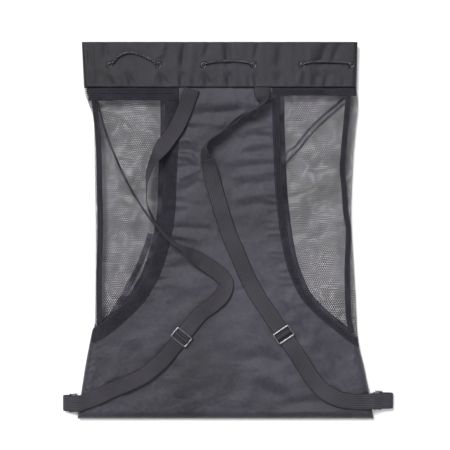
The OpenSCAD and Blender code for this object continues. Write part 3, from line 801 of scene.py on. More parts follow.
def hexagons(inside, u_range, v_range, pitch, hole):
    """Net of six-sided holes: the vertices (u, v) and the faces of the cells whose middle is inside."""
    step_v = pitch * math.sqrt(3) / 2
    nu = int((u_range[1] - u_range[0]) / pitch) + 2
    nv = int((v_range[1] - v_range[0]) / step_v) + 2
    j, i = np.meshgrid(np.arange(nv), np.arange(nu), indexing="ij")
    u = u_range[0] + (i + 0.5 * (j % 2)) * pitch
    v = v_range[0] + j * step_v
    keep = inside(u, v)
    u, v = u[keep], v[keep]
    angle = math.radians(30) + np.arange(6) * math.pi / 3
    r = pitch / math.sqrt(3)
    outer = np.stack([u[:, None] + r * np.cos(angle), v[:, None] + r * np.sin(angle)], -1)
    inner = np.stack([u[:, None] + r * hole * np.cos(angle),
                      v[:, None] + r * hole * np.sin(angle)], -1)
    grid = np.round(outer.reshape(-1, 2) / (pitch * 0.2)).astype(np.int64)
    _, first, back = np.unique(grid, axis=0, return_index=True, return_inverse=True)
    back = back.reshape(-1, 6)
    shared = outer.reshape(-1, 2)[first]
    own = len(shared) + np.arange(len(u) * 6).reshape(-1, 6)
    faces = np.stack([back, np.roll(back, -1, 1), np.roll(own, -1, 1), own], -1).reshape(-1, 4)
    return np.vstack([shared, inner.reshape(-1, 2)]), faces


def stretched(uv, seed):
    """Moves the net's points a little in its plane, so that its holes vary in size."""
    u, v = uv.T
    shift = [1.5 * waves(u, v, first, 9, 30.0, 90.0) + 0.35 * waves(u, v, first + 1, 9, 12.0, 24.0)
             for first in (seed, seed + 2)]
    return uv + np.column_stack(shift)


def back_net(name):
    """The strap side's net, from the side binding to the inner one."""
    low, high = (SIDE[name], SEAM[name]) if name == "left" else (SEAM[name], SIDE[name])

    def inside(u, v):
        """Whether a point lies on the net."""
        across = (u > np.maximum(low(v), edge_left(v) + 1.0)) & (u < np.minimum(high(v), edge_right(v) - 1.0))
        return across & (v > BACK_LOW_Y) & (v < SEAM_Y - 4.0)

    uv, faces = hexagons(inside, NET_SPAN[name], (BACK_LOW_Y - BELOW, SEAM_Y), PITCH, HOLE)
    uv = stretched(uv, 71)
    verts = np.column_stack([uv, back_height(uv[:, 0], uv[:, 1]) - 0.25])
    obj = new_mesh("net_back_" + name, verts, faces, NET, "mesh", replaces=["mesh_back_" + name], uvs=uv)


def front_net(name):
    """The front net, which turns round the side edge and ends at the binding on the strap side."""
    d = INWARD[name]

    def inside(a, v):
        """Whether a point lies on the net."""
        side = d * (SIDE[name](v) - EDGE[name](v))
        seam = d * (SEAM[name](v) - EDGE[name](v))
        seam_low = seam + d * FRONT_SHIFT[name]
        top = -arc_from_inset(np.maximum(0.0, np.where(side > 0, np.minimum(side, seam), seam)), True)
        low = arc_from_inset(np.maximum(0.0, seam_low), False)
        return (a > top) & (a < low) & (v > FRONT_LOW_Y) & (v < SEAM_Y - 1.5) & (seam > 0)

    av, faces = hexagons(inside, ARC_SPAN, (FRONT_LOW_Y - BELOW, SEAM_Y), PITCH, HOLE)
    av = stretched(av, 81)
    a, y = av.T
    x = EDGE[name](y) + d * inset_from_arc(a)
    z = np.where(a < 0, back_height(x, y) - 0.2, front_height(x, y) + 0.1)
    verts = np.column_stack([x, y, z])
    obj = new_mesh("net_front_" + name, verts, faces, NET, "mesh",
                   replaces=["mesh_front_" + name, "mesh_side_" + name], uvs=av)


for side_name in SIDES:
    back_net(side_name)
    front_net(side_name)


# ---- tapes
def band_on(path, width, height, thick, inner=False):
    """Closed strip with rounded edges that follows a surface along a path."""
    p = resample(catmull(path, 6) if len(path) > 2 else np.asarray(path, float), 2.0)
    w = np.linspace(-1.0, 1.0, 9)
    dome = thick * np.sqrt(np.maximum(0.0, 1.0 - np.abs(w) ** 6))
    xy = p[:, None, :] + (w * width / 2)[None, :, None] * sideways(p)[:, None, :]
    xy[..., 0] = np.clip(xy[..., 0], edge_left(xy[..., 1]) + 0.4, edge_right(xy[..., 1]) - 0.4)
    base = height(xy[..., 0], xy[..., 1])
    top_gap, low_gap = (0.15, 0.1) if inner else (0.1, -0.15)
    top = np.concatenate([xy, (base + top_gap + dome)[..., None]], -1)
    low = np.concatenate([xy, (base + low_gap)[..., None]], -1)[:, ::-1]
    ring = np.concatenate([top, low], 1)
    return ring.reshape(-1, 3), capped_grid(*ring.shape[:2])


def level_path(x0, x1, y):
    """Straight path across the bag."""
    return [(x0, y), (x1, y)]


def clip_path(points, y_high):
    """The curve through the points, below y_high."""
    c = catmull(points, 6)
    return c[c[:, 1] <= y_high]


def tape(name, path, width, node_name, surface=back_height, inner=False):
    """A binding tape along a path; inner ones lie on the inside of the bag."""
    v, f = band_on(path, width, surface, TAPE_T, inner)
    new_mesh(name, v, f, TAPE, "binding", replaces=[node_name])


for kind, routes in (("inner", SEAM_POINTS), ("side", SIDE_POINTS)):
    for side_name in SIDES:
        width = INNER_TAPE[side_name] if kind == "inner" else SIDE_TAPE
        tape("tape_" + kind + "_" + side_name, clip_path(routes[side_name], TAPE_TOP_Y[side_name]), width,
             "binding_" + kind + "_" + side_name)

top_left = joined([band_on(level_path(-226.0, -79.0, 224.2), 10.2, back_height, 1.0),
                   band_on(level_path(-224.0, -79.0, 213.6), 10.4, back_height, 0.8)])
new_mesh("tape_top_left", *top_left, TAPE, "binding", replaces=["binding_top_left"])
top_right = band_on(level_path(71.0, 205.5, 222.6), 13.0, back_height, 0.9)
new_mesh("tape_top_right", *top_right, TAPE, "binding", replaces=["binding_top_right"])

for side_name in SIDES:
    c = clip_path([(x + FRONT_SHIFT[side_name], y) for x, y in SEAM_POINTS[side_name]], 228.0)
    inside_edge = INWARD[side_name] * (c[:, 0] - EDGE[side_name](c[:, 1])) > 9.0
    tape("tape_front_" + side_name, c[inside_edge], TAPE_WIDTH, "front_binding_" + side_name,
         surface=front_height, inner=True)

# Pleats pressed into the front nets, seen through the windows as darker lines: path and width.
PLEATS = {
    "left": [([(-210, 209), (-200, 169), (-186, 129), (-160, 73), (-130, 25), (-104, -7)], 3.4),
             ([(-124, -4), (-136, -38), (-150, -70), (-168, -104), (-186, -134)], 9.0)],
    "right": [([(197, 212), (147, 169), (115, 132), (90, 105)], 3.0),
              ([(191, 216), (141, 174), (110, 138), (92, 118), (92, 60), (96, 20), (104, -20)], 3.4)],
}
PLEAT_HOLE = 0.42
PLEAT_PITCH = 0.62 * PITCH


def net_strip(path, width):
    """Narrow strip of closed-up net along a path, lying on the front net."""
    p = resample(catmull(path, 6), 1.0)
    s = lengths_along(p)

    def inside(u, v):
        """Whether a point lies on the net."""
        return (np.abs(u) < width / 2) & (v > 0.0) & (v < s[-1])

    uv, faces = hexagons(inside, (-width, width), (0.0, s[-1]), PLEAT_PITCH, PLEAT_HOLE)
    xy = sample(p, s, uv[:, 1]) + uv[:, :1] * sample(sideways(p), s, uv[:, 1])
    return np.column_stack([xy, front_height(xy[:, 0], xy[:, 1]) + 0.7]), faces


for side_name, strips in PLEATS.items():
    new_mesh("pleat_front_" + side_name, *joined([net_strip(*strip) for strip in strips]), NET, "mesh")

# ---- edge seams
SEAM_R = 1.2
SEAM_TALL = 1.5
SEAM_INSET = 1.1


def bead(path3):
    """Ridge of sewn cloth along a line."""
    t = tangents(path3)
    across = unit(np.cross(t, UP))
    return sweep(path3, across, np.cross(across, t), circle(SEAM_R, 8, SEAM_TALL))


for side_name, seam_top in (("left", -150.0), ("right", -166.0)):
    c = resample(clip_path(EDGE_POINTS[side_name], seam_top), 2.0)
    seam_z = MID_Z + 0.25 * waves(c[:, 0], c[:, 1], 51, 6, 9.0, 18.0)
    seam_line = np.column_stack([c[:, 0] + INWARD[side_name] * SEAM_INSET, c[:, 1], seam_z])
    new_mesh("seam_side_" + side_name, *bead(seam_line), NYLON, "nylon", replaces=["side_seam_" + side_name])

bottom_x = np.arange(-241.0, 233.5, 2.0)
bottom_path = np.column_stack([bottom_x, np.full_like(bottom_x, BOTTOM_Y + SEAM_INSET),
                               MID_Z + 0.3 * waves(bottom_x, bottom_x * 0, 52, 6, 9.0, 20.0)])
new_mesh("seam_bottom", *bead(bottom_path), NYLON, "nylon", replaces=["bottom_seam"])

# ---- collar
EYELET_X = [-189.0, -111.0, -39.0, 41.0, 119.0, 197.0]
EYELET_Y = 265.0
COLLAR_T = 1.0
COLLAR_ROLL = 7.0
COLLAR_Z = 18.1
COLLAR_FACE_Z = 18.6
COLLAR_RELIEF = 1.2
COLLAR_HOLE = 3.9
FRONT_Z = 0.5
CORD_RUN_Y = 258.0
CORD_RUN_WIDTH = 10.0
# Folds of the collar's back half: path, height, width.
COLLAR_FOLDS = [
    ([(-76, 226), (-73, 262), (-70, 304)], -2.8, 5.0),
    ([(-62, 226), (-60, 262), (-58, 304)], 1.4, 6.0),
    ([(2, 226), (0, 262), (-3, 304)], -2.8, 5.0),
    ([(14, 226), (12, 262), (9, 304)], 1.2, 6.0),
    ([(138, 226), (146, 262), (160, 304)], -3.0, 7.0),
    ([(154, 226), (166, 268), (180, 304)], -2.0, 6.0),
    ([(-221, 226), (-222, 262), (-224, 304)], -2.6, 2.2),
    ([(-216, 226), (-217, 262), (-219, 304)], 1.4, 2.4),
    ([(-150, 226), (-156, 240), (-164, 256)], -2.0, 4.5),
    ([(-170, 228), (-178, 242), (-186, 254)], 1.8, 4.5),
    ([(-184, 228), (-190, 240), (-192, 252)], -1.6, 4.0),
    ([(-96, 230), (-104, 244), (-108, 256)], -1.8, 4.5),
    ([(-118, 230), (-120, 242), (-114, 256)], 1.4, 4.0),
    ([(80, 226), (82, 262), (84, 304)], -1.8, 7.0),
    ([(-30, 230), (-36, 244), (-40, 256)], -1.8, 4.5),
    ([(46, 230), (44, 244), (42, 256)], -1.6, 4.5),
    ([(110, 230), (114, 244), (118, 256)], 1.6, 4.5),
    ([(-110, 274), (-104, 290), (-100, 304)], 1.2, 4.0),
    ([(-190, 274), (-196, 288), (-198, 304)], -1.4, 4.0),
    ([(-40, 274), (-34, 290), (-30, 304)], -1.4, 4.0),
    ([(42, 274), (46, 290), (50, 304)], -1.2, 4.0),
]


def calm_at_eyelets(x, y):
    """0 at an eyelet and 1 away from it, so that the cloth is flat under its flange."""
    near = np.ones_like(x)
    for ex in EYELET_X:
        near = np.minimum(near, 1.0 - np.exp(-(((x - ex) ** 2 + (y - EYELET_Y) ** 2) / 90.0) ** 1.5))
    return near


def held_by_cord(y):
    """Share of a valley's depth that is left where the drawcord runs under the collar."""
    return 1.0 - 0.85 * np.exp(-((y - CORD_RUN_Y) / CORD_RUN_WIDTH) ** 2)


def collar_wrinkles(x, y):
    """Folds, waves and gathers of the collar's back half."""
    total = 0.3 * waves(x, y, 61, 12, 24.0, 80.0, 1.6) + folds(x, y, COLLAR_FOLDS)
    total = np.where(total < 0.0, total * held_by_cord(y), total)
    gather = np.exp(-np.abs(y - SEAM_Y) / 14.0)
    total = total + 0.4 * gather * waves(x, y * 0.2, 63, 9, 8.0, 18.0)
    return total * calm_at_eyelets(x, y)


def collar_sides(y):
    """The x of the collar's two turned sides."""
    t = (y - SEAM_Y) / (MOUTH_Y - SEAM_Y)
    return -231.0 - 3.0 * t, 206.0 + 1.0 * t


def side_fade(x, y):
    """From 0 at the collar's turned sides to 1 inside them."""
    x0, x1 = collar_sides(y)
    return np.clip(np.minimum(x - x0, x1 - x) / 16.0, 0.0, 1.0)


def collar_relief(x, y):
    """Height of the back half's face over its flat level."""
    return soft_limit(collar_wrinkles(x, y), COLLAR_RELIEF) * side_fade(x, y)


def collar_ring(y, flat, turn):
    """Points once round the collar at one y: back, left side, front and right side."""
    x0, x1 = collar_sides(y)
    front = FRONT_Z + max(0.0, (y - SEAM_Y) * math.tan(FRONT_TILT))
    mid, half = (COLLAR_Z + front) / 2, (COLLAR_Z - front) / 2
    start, stop = x1 - COLLAR_ROLL, x0 + COLLAR_ROLL
    xs = start + (stop - start) * flat
    ys = np.full_like(xs, y)
    lip = 0.25 * math.exp(-((y - SEAM_Y) / 3.0) ** 2)
    ripple = 0.35 * waves(xs, ys, 65, 10, 20.0, 60.0, 1.5) * calm_at_eyelets(xs, ys) * side_fade(xs, ys)
    lowest = 0.0 if y < 240 else -0.4
    back_half = np.column_stack([xs, ys, COLLAR_Z + collar_relief(xs, ys) + lip])
    front_half = np.column_stack([xs, ys, front + np.maximum(lowest, ripple)])
    inward = COLLAR_ROLL * (1 - np.cos(turn))
    side = [np.column_stack([x, np.full_like(turn, y), mid + half * np.sin(turn)])
            for x in (x0 + inward, x1 - inward)]
    return np.vstack([back_half, side[0], front_half[::-1], side[1][::-1]])


def cut_holes(verts, faces, halves):
    """Opens the eyelet holes: drops the faces inside them and moves the rims onto circles."""
    gone = np.zeros(len(verts), bool)
    rim = {}
    for ex in EYELET_X:
        near = np.hypot(verts[:, 0] - ex, verts[:, 1] - EYELET_Y) < COLLAR_HOLE - 0.4
        for half in halves:
            inner = near & half
            gone |= inner
            crossed = faces[np.any(inner[faces], axis=1) & ~np.all(inner[faces], axis=1)]
            rim.update({i: ex for i in np.unique(crossed) if not inner[i]})
    for i, ex in rim.items():
        centre = np.array([ex, EYELET_Y])
        verts[i, :2] = centre + unit(verts[i, :2] - centre) * COLLAR_HOLE
    return faces[~np.any(gone[faces], axis=1)]


def collar_mesh():
    """The collar as one band round the mouth, with open eyelet holes in both halves."""
    rows = np.concatenate([np.linspace(SEAM_Y - 0.6, MOUTH_Y - 1.5, 33), [MOUTH_Y - 0.6, MOUTH_Y]])
    turn = np.linspace(math.pi / 2, -math.pi / 2, 15)[1:-1]
    flat = np.linspace(0.0, 1.0, 190)
    rings = np.array([collar_ring(y, flat, turn) for y in rows])
    n, k = rings.shape[:2]
    place = np.tile(np.arange(k), n)
    front_from = len(flat) + len(turn)
    halves = (place < len(flat), (place >= front_from) & (place < front_from + len(flat)))
    verts = rings.reshape(-1, 3)
    kept = cut_holes(verts, grid_faces(n, k, wrap_cols=True), halves)
    used, back = np.unique(kept, return_inverse=True)
    return verts[used], back.reshape(-1, 4)


v, f = collar_mesh()
collar = new_mesh("collar_band", v, f[:, ::-1], COLLAR, "nylon",
                  replaces=["collar_back", "collar_front", "collar_side_left", "collar_side_right"])
solid_sheet(collar, COLLAR_T * 0.96, 0.0)


# ---- eyelets
LATHE_SIDES = 48


def lathe(profile):
    """A closed profile of (radius, height) pairs turned round the Z axis."""
    p = np.asarray(profile, float)
    ring = circle(1.0, LATHE_SIDES)
    verts = np.concatenate([ring[:, None, :] * p[None, :, :1],
                            np.broadcast_to(p[:, 1:], (LATHE_SIDES, len(p), 1))], -1).reshape(-1, 3)
    return verts, grid_faces(LATHE_SIDES, len(p), wrap_cols=True, wrap_rows=True)


def set_in_place(part, matrix):
    """The part's vertices moved by a matrix, and its faces."""
    v, f = part
    m = np.array(matrix)
    return v @ m[:3, :3].T + m[:3, 3], f


EYELET_PROFILE = [(2.70, -1.62), (2.70, -0.9), (2.72, -0.1), (2.84, 0.34), (3.15, 0.62), (3.6, 0.70),
                  (4.1, 0.58), (4.45, 0.30), (4.6, 0.04), (4.5, -0.02), (3.4, 0.0), (3.3, -0.2),
                  (3.3, -1.4), (3.2, -1.62)]
WASHER_PROFILE = [(3.36, -0.5), (3.36, -0.1), (3.5, 0.0), (4.4, 0.0), (4.6, -0.12), (4.6, -0.4),
                  (4.5, -0.5)]


def back_place(x):
    """Face of the back half at an eyelet."""
    return Matrix.Translation((x, EYELET_Y, COLLAR_FACE_Z))


def front_place(x):
    """Face of the front half, turned over so that the flange is outside."""
    tilt = Matrix.Translation((0, SEAM_Y, 0)) @ Matrix.Rotation(FRONT_TILT, 4, "X")
    along = (EYELET_Y - SEAM_Y) / math.cos(FRONT_TILT)
    return tilt @ Matrix.Translation((x, along, 0)) @ Matrix.Rotation(math.pi, 4, "X")


BEHIND = Matrix.Translation((0, 0, -COLLAR_T))
for half, put in (("back", back_place), ("front", front_place)):
    parts = [set_in_place(lathe(EYELET_PROFILE), put(x)) for x in EYELET_X]
    new_mesh("eyelet_" + half, *joined(parts), EYELET, "eyelet", replaces=["eyelets_" + half])
    parts = [set_in_place(lathe(WASHER_PROFILE), put(x) @ BEHIND) for x in EYELET_X]
    new_mesh("washer_" + half, *joined(parts), EYELET, "eyelet", replaces=["washers_" + half])

# ---- drawcord
CORD_D = 3.5
BRAID_SIDES = 16
BRAID_STRANDS = 4
BRAID_ADVANCE = 2.6
# The drawcord as it is woven through the eyelets, then the two free ends: x, y, z.
DRAWCORD = [
    (-43, 264, 2.8), (-39, 265, 5.8), (-44, 266, 9.4), (-75, 270, 9.9), (-106, 266, 9.4),
    (-111, 265, 5.8), (-115, 264, 2.5), (-150, 262, 2.2), (-185, 264, 2.5), (-189, 265, 5.8),
    (-194, 264, 9.4), (-205, 256, 8.8), (-218, 253, 9.4), (-225, 261, 11.5), (-219, 271, 13.6),
    (-206, 271, 14.6), (-194, 266, 15.0), (-189, 265, 18.2), (-185, 268, 21.4),
    (-178, 276, 21.4), (-164, 284, 21.4), (-146, 283, 21.6), (-127, 275, 21.4),
    (-115, 267, 21.4), (-111, 265, 18.2), (-106, 264, 15.0), (-92, 258, 14.8),
    (-58, 258, 14.8), (-44, 264, 15.0), (-39, 265, 18.2), (-35, 267, 21.4), (-22, 270, 21.4),
    (2, 271, 21.4), (24, 270, 21.4), (37, 267, 21.4), (41, 265, 18.2), (46, 264, 15.0),
    (60, 258, 14.8), (100, 258, 14.8), (114, 264, 15.0), (119, 265, 18.2), (123, 267, 21.4),
    (136, 270, 21.4), (158, 270, 21.4), (180, 269, 21.4), (193, 267, 21.4), (197, 265, 18.2),
    (199, 259, 15.0), (196, 250, 14.0), (187, 246, 12.6), (179, 251, 11.2), (183, 260, 9.8),
    (191, 264, 9.2), (197, 265, 5.8), (192, 264, 2.5), (158, 262, 2.2), (124, 264, 2.5),
    (119, 265, 5.8), (114, 266, 9.4), (80, 270, 9.9), (46, 266, 9.4), (41, 265, 5.8),
    (45, 264, 2.8)]
LEFT_TAIL = [
    (-43, 264, 2.8), (-51, 266, 2.2), (-56, 273, 2.2), (-54, 282, 2.4), (-46, 289, 2.8),
    (-34, 290.7, 3.3), (20, 290.7, 3.3), (60, 290.7, 3.3), (100, 290.7, 3.3), (150, 290.7, 3.3),
    (158, 292, 3.0), (166, 294, 2.6)]
RIGHT_TAIL = [
    (45, 264, 2.8), (52, 265, 2.2), (57, 270, 2.2), (60, 277, 2.3), (64, 283, 2.6),
    (70, 286.5, 3.0), (76, 287, 3.3), (100, 287, 3.3), (125, 287, 3.3), (150, 287, 3.3),
    (158, 286, 3.0), (165, 285, 2.6)]


def level_frame(path3):
    """Across and up directions that turn as little as they can along a path."""
    t = tangents(path3)
    across = np.zeros_like(t)
    across[0] = unit(np.cross(t[0], UP))
    for i in range(1, len(t)):
        across[i] = unit(across[i - 1] - (across[i - 1] @ t[i]) * t[i])
    return across, np.cross(across, t)


def strip_uv(around, along):
    """UV points of a sweep, from the distance round its section and the distance along it."""
    return np.stack(np.broadcast_arrays(around[None, :], along[:, None]), -1).reshape(-1, 2)


def braided(route):
    """Cord with raised strands that cross in both directions."""
    p = resample(catmull(route, 10), 0.6)
    s = lengths_along(p)
    ring = circle(1.0, BRAID_SIDES)
    a = np.arange(BRAID_SIDES) * 2 * math.pi / BRAID_SIDES
    twist = s[:, None] / BRAID_ADVANCE * math.pi / 2
    one, two = [np.abs(np.cos(BRAID_STRANDS / 2 * a + way * twist)) for way in (1, -1)]
    radius = CORD_D / 2 * (0.84 + 0.20 * np.maximum(one, two) ** 1.5)
    return *sweep(p, *level_frame(p), radius[..., None] * ring), strip_uv(a * CORD_D / 2, s)


v, f, uv = braided(DRAWCORD)
new_mesh("drawcord_braid", v, f, CORD, "cord", replaces=["drawcord"], uvs=uv)


def knot(centre, reach, radius, phase):
    """Small overhand knot: a trefoil of cord."""
    t = np.linspace(0.0, 2 * math.pi, 90)
    x = np.sin(t) + 2 * np.sin(2 * t)
    y = np.cos(t) - 2 * np.cos(2 * t)
    z = -0.95 * np.sin(3 * t)
    c, s = math.cos(phase), math.sin(phase)
    pts = np.column_stack([c * x - s * y, s * x + c * y, z]) * reach / 3.0 + np.asarray(centre)
    return sweep(pts, *level_frame(pts), circle(radius, 10))


KNOT_AT = {"left": (169.0, 294.6, 3.3), "right": (168.0, 284.4, 3.3)}
KNOT_REACH = 2.9
KNOT_CORD_R = 1.55
KNOT_PHASE = 0.4
for side_name, route in (("left", LEFT_TAIL), ("right", RIGHT_TAIL)):
    v, f, uv = braided(route)
    tail = new_mesh("tail_" + side_name, v, f, CORD, "cord", replaces=["cord_tail_" + side_name], uvs=uv)
    tip = new_mesh("knot_" + side_name, *knot(KNOT_AT[side_name], KNOT_REACH, KNOT_CORD_R, KNOT_PHASE),
                   CORD, "cord", replaces=["cord_knots"])


# ---- straps
ROLL_SEED = {"left": 142, "right": 141}


def webbing_profile(width, thick):
    """Closed section of webbing with thin rounded selvedges."""
    w = np.linspace(-1.0, 1.0, 13)
    t = thick / 2 * (1.0 - 0.45 * np.abs(w) ** 14)
    top = np.column_stack([w * width / 2, t])
    low = np.column_stack([w[::-1] * width / 2, -t[::-1]])
    return np.vstack([top, [[width / 2, 0.0]], low, [[-width / 2, 0.0]]])


def webbing_strip(line, wide, width, thick, along=None):
    """Webbing along a line, its width in the direction wide: vertices, faces and UV points."""
    profile = webbing_profile(width, thick)
    v, f = sweep(line, wide, np.cross(tangents(line), wide), profile)
    return v, f, strip_uv(profile[:, 0], lengths_along(line) if along is None else along)


def strap(side_name):
    """A shoulder strap through its stations, with a little roll where it lies free."""
    c = catmull(STATIONS[side_name], 8)
    s = lengths_along(c[:, :3])
    at = np.linspace(0.0, s[-1], int(s[-1] / 2.2) + 1)
    q = sample(c, s, at)
    (bx, by), _ = SLIDERS[side_name]
    free = (smooth((np.hypot(q[:, 0] - bx, q[:, 1] - by) - 26.0) / 30.0)
            * smooth((230.0 - np.abs(q[:, 0])) / 30.0))
    roll = 7.0 * free * waves(at, 0 * at, ROLL_SEED[side_name], 7, 45.0, 130.0)
    q[:, 4] += roll
    q[:, 2] += STRAP_W / 2 * np.sin(np.radians(np.abs(roll))) * (q[:, 2] < 9.0)
    p = q[:, :3] + BACK_TOP * UP
    t = tangents(p)
    az, el = np.radians(q[:, 3]), np.radians(q[:, 4])
    lean = np.column_stack([np.cos(az) * np.cos(el), np.sin(az) * np.cos(el), np.sin(el)])
    wide = unit(lean - np.sum(lean * t, 1)[:, None] * t)
    v, f, uv = webbing_strip(p, wide, STRAP_W, STRAP_T, at)
    obj = new_mesh("web_" + side_name, v, f, WEBBING, "webbing", replaces=["strap_" + side_name], uvs=uv)


for side_name in SIDES:
    strap(side_name)


# ---- sliders, rings and tabs
def plate_outline(l, w, r, steps=8):
    """Rectangle with rounded corners."""
    pts = []
    for cx, cy, a0 in ((1, 1, 0), (-1, 1, 90), (-1, -1, 180), (1, -1, 270)):
        for k in range(steps + 1):
            a = math.radians(a0 + 90 * k / steps)
            pts.append((cx * (l / 2 - r) + r * math.cos(a), cy * (w / 2 - r) + r * math.sin(a)))
    return pts


def frame_plate(name, loops, thick, bevel):
    """Plate with openings and rounded edges, as a mesh, from outlines in millimetres."""
    c = bpy.data.curves.new(name, "CURVE")
    c.dimensions = "2D"
    c.fill_mode = "BOTH"
    c.extrude = (thick / 2 - bevel) * MM
    c.bevel_depth = bevel * MM
    c.bevel_resolution = 3
    c.offset = -bevel * MM
    for loop in loops:
        s = c.splines.new("POLY")
        s.points.add(len(loop) - 1)
        for point, (x, y) in zip(s.points, loop):
            point.co = (x * MM, y * MM, 0.0, 1.0)
        s.use_cyclic_u = True
    o = bpy.data.objects.new(name, c)
    scene.collection.objects.link(o)
    bpy.context.view_layer.update()
    mesh = bpy.data.meshes.new_from_object(o.evaluated_get(bpy.context.evaluated_depsgraph_get()))
    bpy.data.objects.remove(o)
    co = np.zeros(len(mesh.vertices) * 3)
    mesh.vertices.foreach_get("co", co)
    faces = [tuple(p.vertices) for p in mesh.polygons]
    bpy.data.meshes.remove(mesh)
    return co.reshape(-1, 3) / MM, faces


def merged(obj):
    """Joins the plate's doubled vertices and points its faces outwards."""
    b = bmesh.new()
    b.from_mesh(obj.data)
    bmesh.ops.remove_doubles(b, verts=b.verts, dist=0.01 * MM)
    bmesh.ops.recalc_face_normals(b, faces=b.faces)
    b.to_mesh(obj.data)
    b.free()


def along_y(line):
    """The Y direction at every point of a line."""
    return np.repeat([[0.0, 1.0, 0.0]], len(line), 0)


SLIDER_W, SLIDER_L, SLIDER_T, SLIDER_BAR = 31.0, 20.5, 3.0, 2.9
slot_l = (SLIDER_L - 3 * SLIDER_BAR) / 2
slot_x = (slot_l + SLIDER_BAR) / 2
slider_loops = [plate_outline(SLIDER_L, SLIDER_W, 3.0)]
for sign in (-1, 1):
    hole = plate_outline(slot_l, SLIDER_W - 2 * SLIDER_BAR, 1.1, 5)
    slider_loops.append([(x + sign * slot_x, y) for x, y in hole])


def bight_line():
    """Middle line of the webbing over a slider's centre bar, in the slider's own frame."""
    r = SLIDER_BAR / 2 + 0.1 + STRAP_T / 2
    arc = np.linspace(0.0, math.pi, 25)
    rise = np.linspace(0.15, SLIDER_T, 6)[:-1]
    x = np.concatenate([np.full(5, -r), -r * np.cos(arc), np.full(5, r)])
    z = np.concatenate([rise, SLIDER_T + r * np.sin(arc), rise[::-1]])
    return np.column_stack([x, 0 * x, z])


for side_name, ((sx, sy), heading) in SLIDERS.items():
    body = side_name + "_slider"
    put = (Matrix.Translation((sx, sy, BACK_TOP + SLIDER_LIFT))
           @ Matrix.Rotation(math.radians(heading), 4, "Z"))
    v, f = set_in_place(frame_plate("plate", slider_loops, SLIDER_T, 1.1),
                        put @ Matrix.Translation((0, 0, SLIDER_T / 2)))
    merged(new_mesh("buckle_" + side_name, v, f, GUNMETAL, "gunmetal", body=body,
                    replaces=["slider_" + side_name]))
    line = bight_line()
    v, f, uv = webbing_strip(line, along_y(line), STRAP_W, STRAP_T)
    new_mesh("bight_" + side_name, *set_in_place((v, f), put), WEBBING, "webbing", body=body,
             replaces=["slider_bight_" + side_name], uvs=uv)

RING_Z, RING_L, RING_SPAN, RING_WIRE, RING_CORNER = 6.6, 32.0, 13.0, 1.5, 2.0
RINGS = {"left": ((-243.5, -277.0), math.pi), "right": ((234.5, -273.0), 0.0)}
TAB_W, TAB_T = 24.0, 1.2
TAB_FROM = {"left": -238.9, "right": 229.2}
TAB_WRAP = 0.80 * math.pi


def ring_line():
    """Middle line of the wire of a ring, its tab's bar along Y at x = 0."""
    half = RING_L / 2 - RING_WIRE
    pts = np.array(plate_outline(RING_SPAN, 2 * half, RING_CORNER, 10))
    pts[:, 0] += RING_SPAN / 2
    p = resample(np.vstack([pts, pts[:1]]), 0.7)[:-1]
    return np.column_stack([p, np.zeros(len(p))])


def tab_line(side_name, rx, ry):
    """Middle line of a tab, which runs from the side seam, round the ring's bar, and back."""
    out = -INWARD[side_name]
    r = RING_WIRE + 0.05 + TAB_T / 2
    arc = np.linspace(TAB_WRAP, -TAB_WRAP, 33)
    bend = np.column_stack([out * r * np.cos(arc), r * np.sin(arc)])
    reach = abs(rx - TAB_FROM[side_name])
    top = np.array([[-out * reach, TAB_T / 2 + 0.02], [-out * (reach - 1.0), TAB_T / 2 + 0.05]])
    xz = resample(catmull(np.vstack([top, bend, top[::-1] * [1, -1]]), 2), 0.6)
    return np.column_stack([rx + xz[:, 0], np.full(len(xz), ry), RING_Z + xz[:, 1]])


for side_name, ((rx, ry), turn) in RINGS.items():
    put = Matrix.Translation((rx, ry, RING_Z)) @ Matrix.Rotation(turn, 4, "Z")
    line = ring_line()
    t = unit(np.roll(line, -1, 0) - np.roll(line, 1, 0))
    up = np.repeat(UP[None], len(line), 0)
    wire = swept(line, np.cross(t, up), up, circle(RING_WIRE, 16))
    faces = grid_faces(len(line), 16, wrap_cols=True, wrap_rows=True)
    new_mesh("loop_ring_" + side_name, *set_in_place((wire, faces), put), RING_METAL, "gunmetal",
             body=side_name + "_ring", replaces=["ring_" + side_name])
    line = tab_line(side_name, rx, ry)
    v, f, uv = webbing_strip(line, along_y(line), TAB_W, TAB_T)
    new_mesh("tab_" + side_name, v, f, WEBBING, "webbing", replaces=["ring_tab_" + side_name], uvs=uv)

# ---- cord lock
SPRING_TURNS = 3
SPRING_WIRE = 0.15


def lock_spring():
    """A helix in the spring's own box."""
    low, high = (np.array(corner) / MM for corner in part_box("cord_lock_spring"))
    middle = (low + high) / 2
    radius = (high[0] - low[0]) / 2 - SPRING_WIRE
    steps = 32 * SPRING_TURNS
    turn = np.linspace(0.0, 2 * math.pi * SPRING_TURNS, steps + 1)
    along = np.linspace(low[1] + SPRING_WIRE, high[1] - SPRING_WIRE, steps + 1)
    out = np.column_stack([np.cos(turn), np.zeros_like(turn), np.sin(turn)])
    centres = radius * out + np.column_stack([0 * turn + middle[0], along, 0 * turn + middle[2]])
    verts, faces = sweep(centres, out, along_y(turn), circle(SPRING_WIRE, 12))
    spring = new_mesh("lock_spring", verts, faces, SPRING, "spring_steel", body="cord_lock",
                      replaces=["cord_lock_spring"])
    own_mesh(spring)


lock_spring()

for name in ("cord_lock_body", "cord_lock_plunger"):
    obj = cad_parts[name]
    obj.data.materials.clear()
    obj.data.materials.append(PLASTIC)

# ---- stitches
STITCH_PITCH = 3.2
STITCH_LENGTH = 2.3
STITCH_R = 0.32
# Rings of one stitch: place along it as a share of its length, and share of its radius.
STITCH_RINGS = ((-0.5, 0.15), (-0.3, 1.0), (0.3, 1.0), (0.5, 0.15))


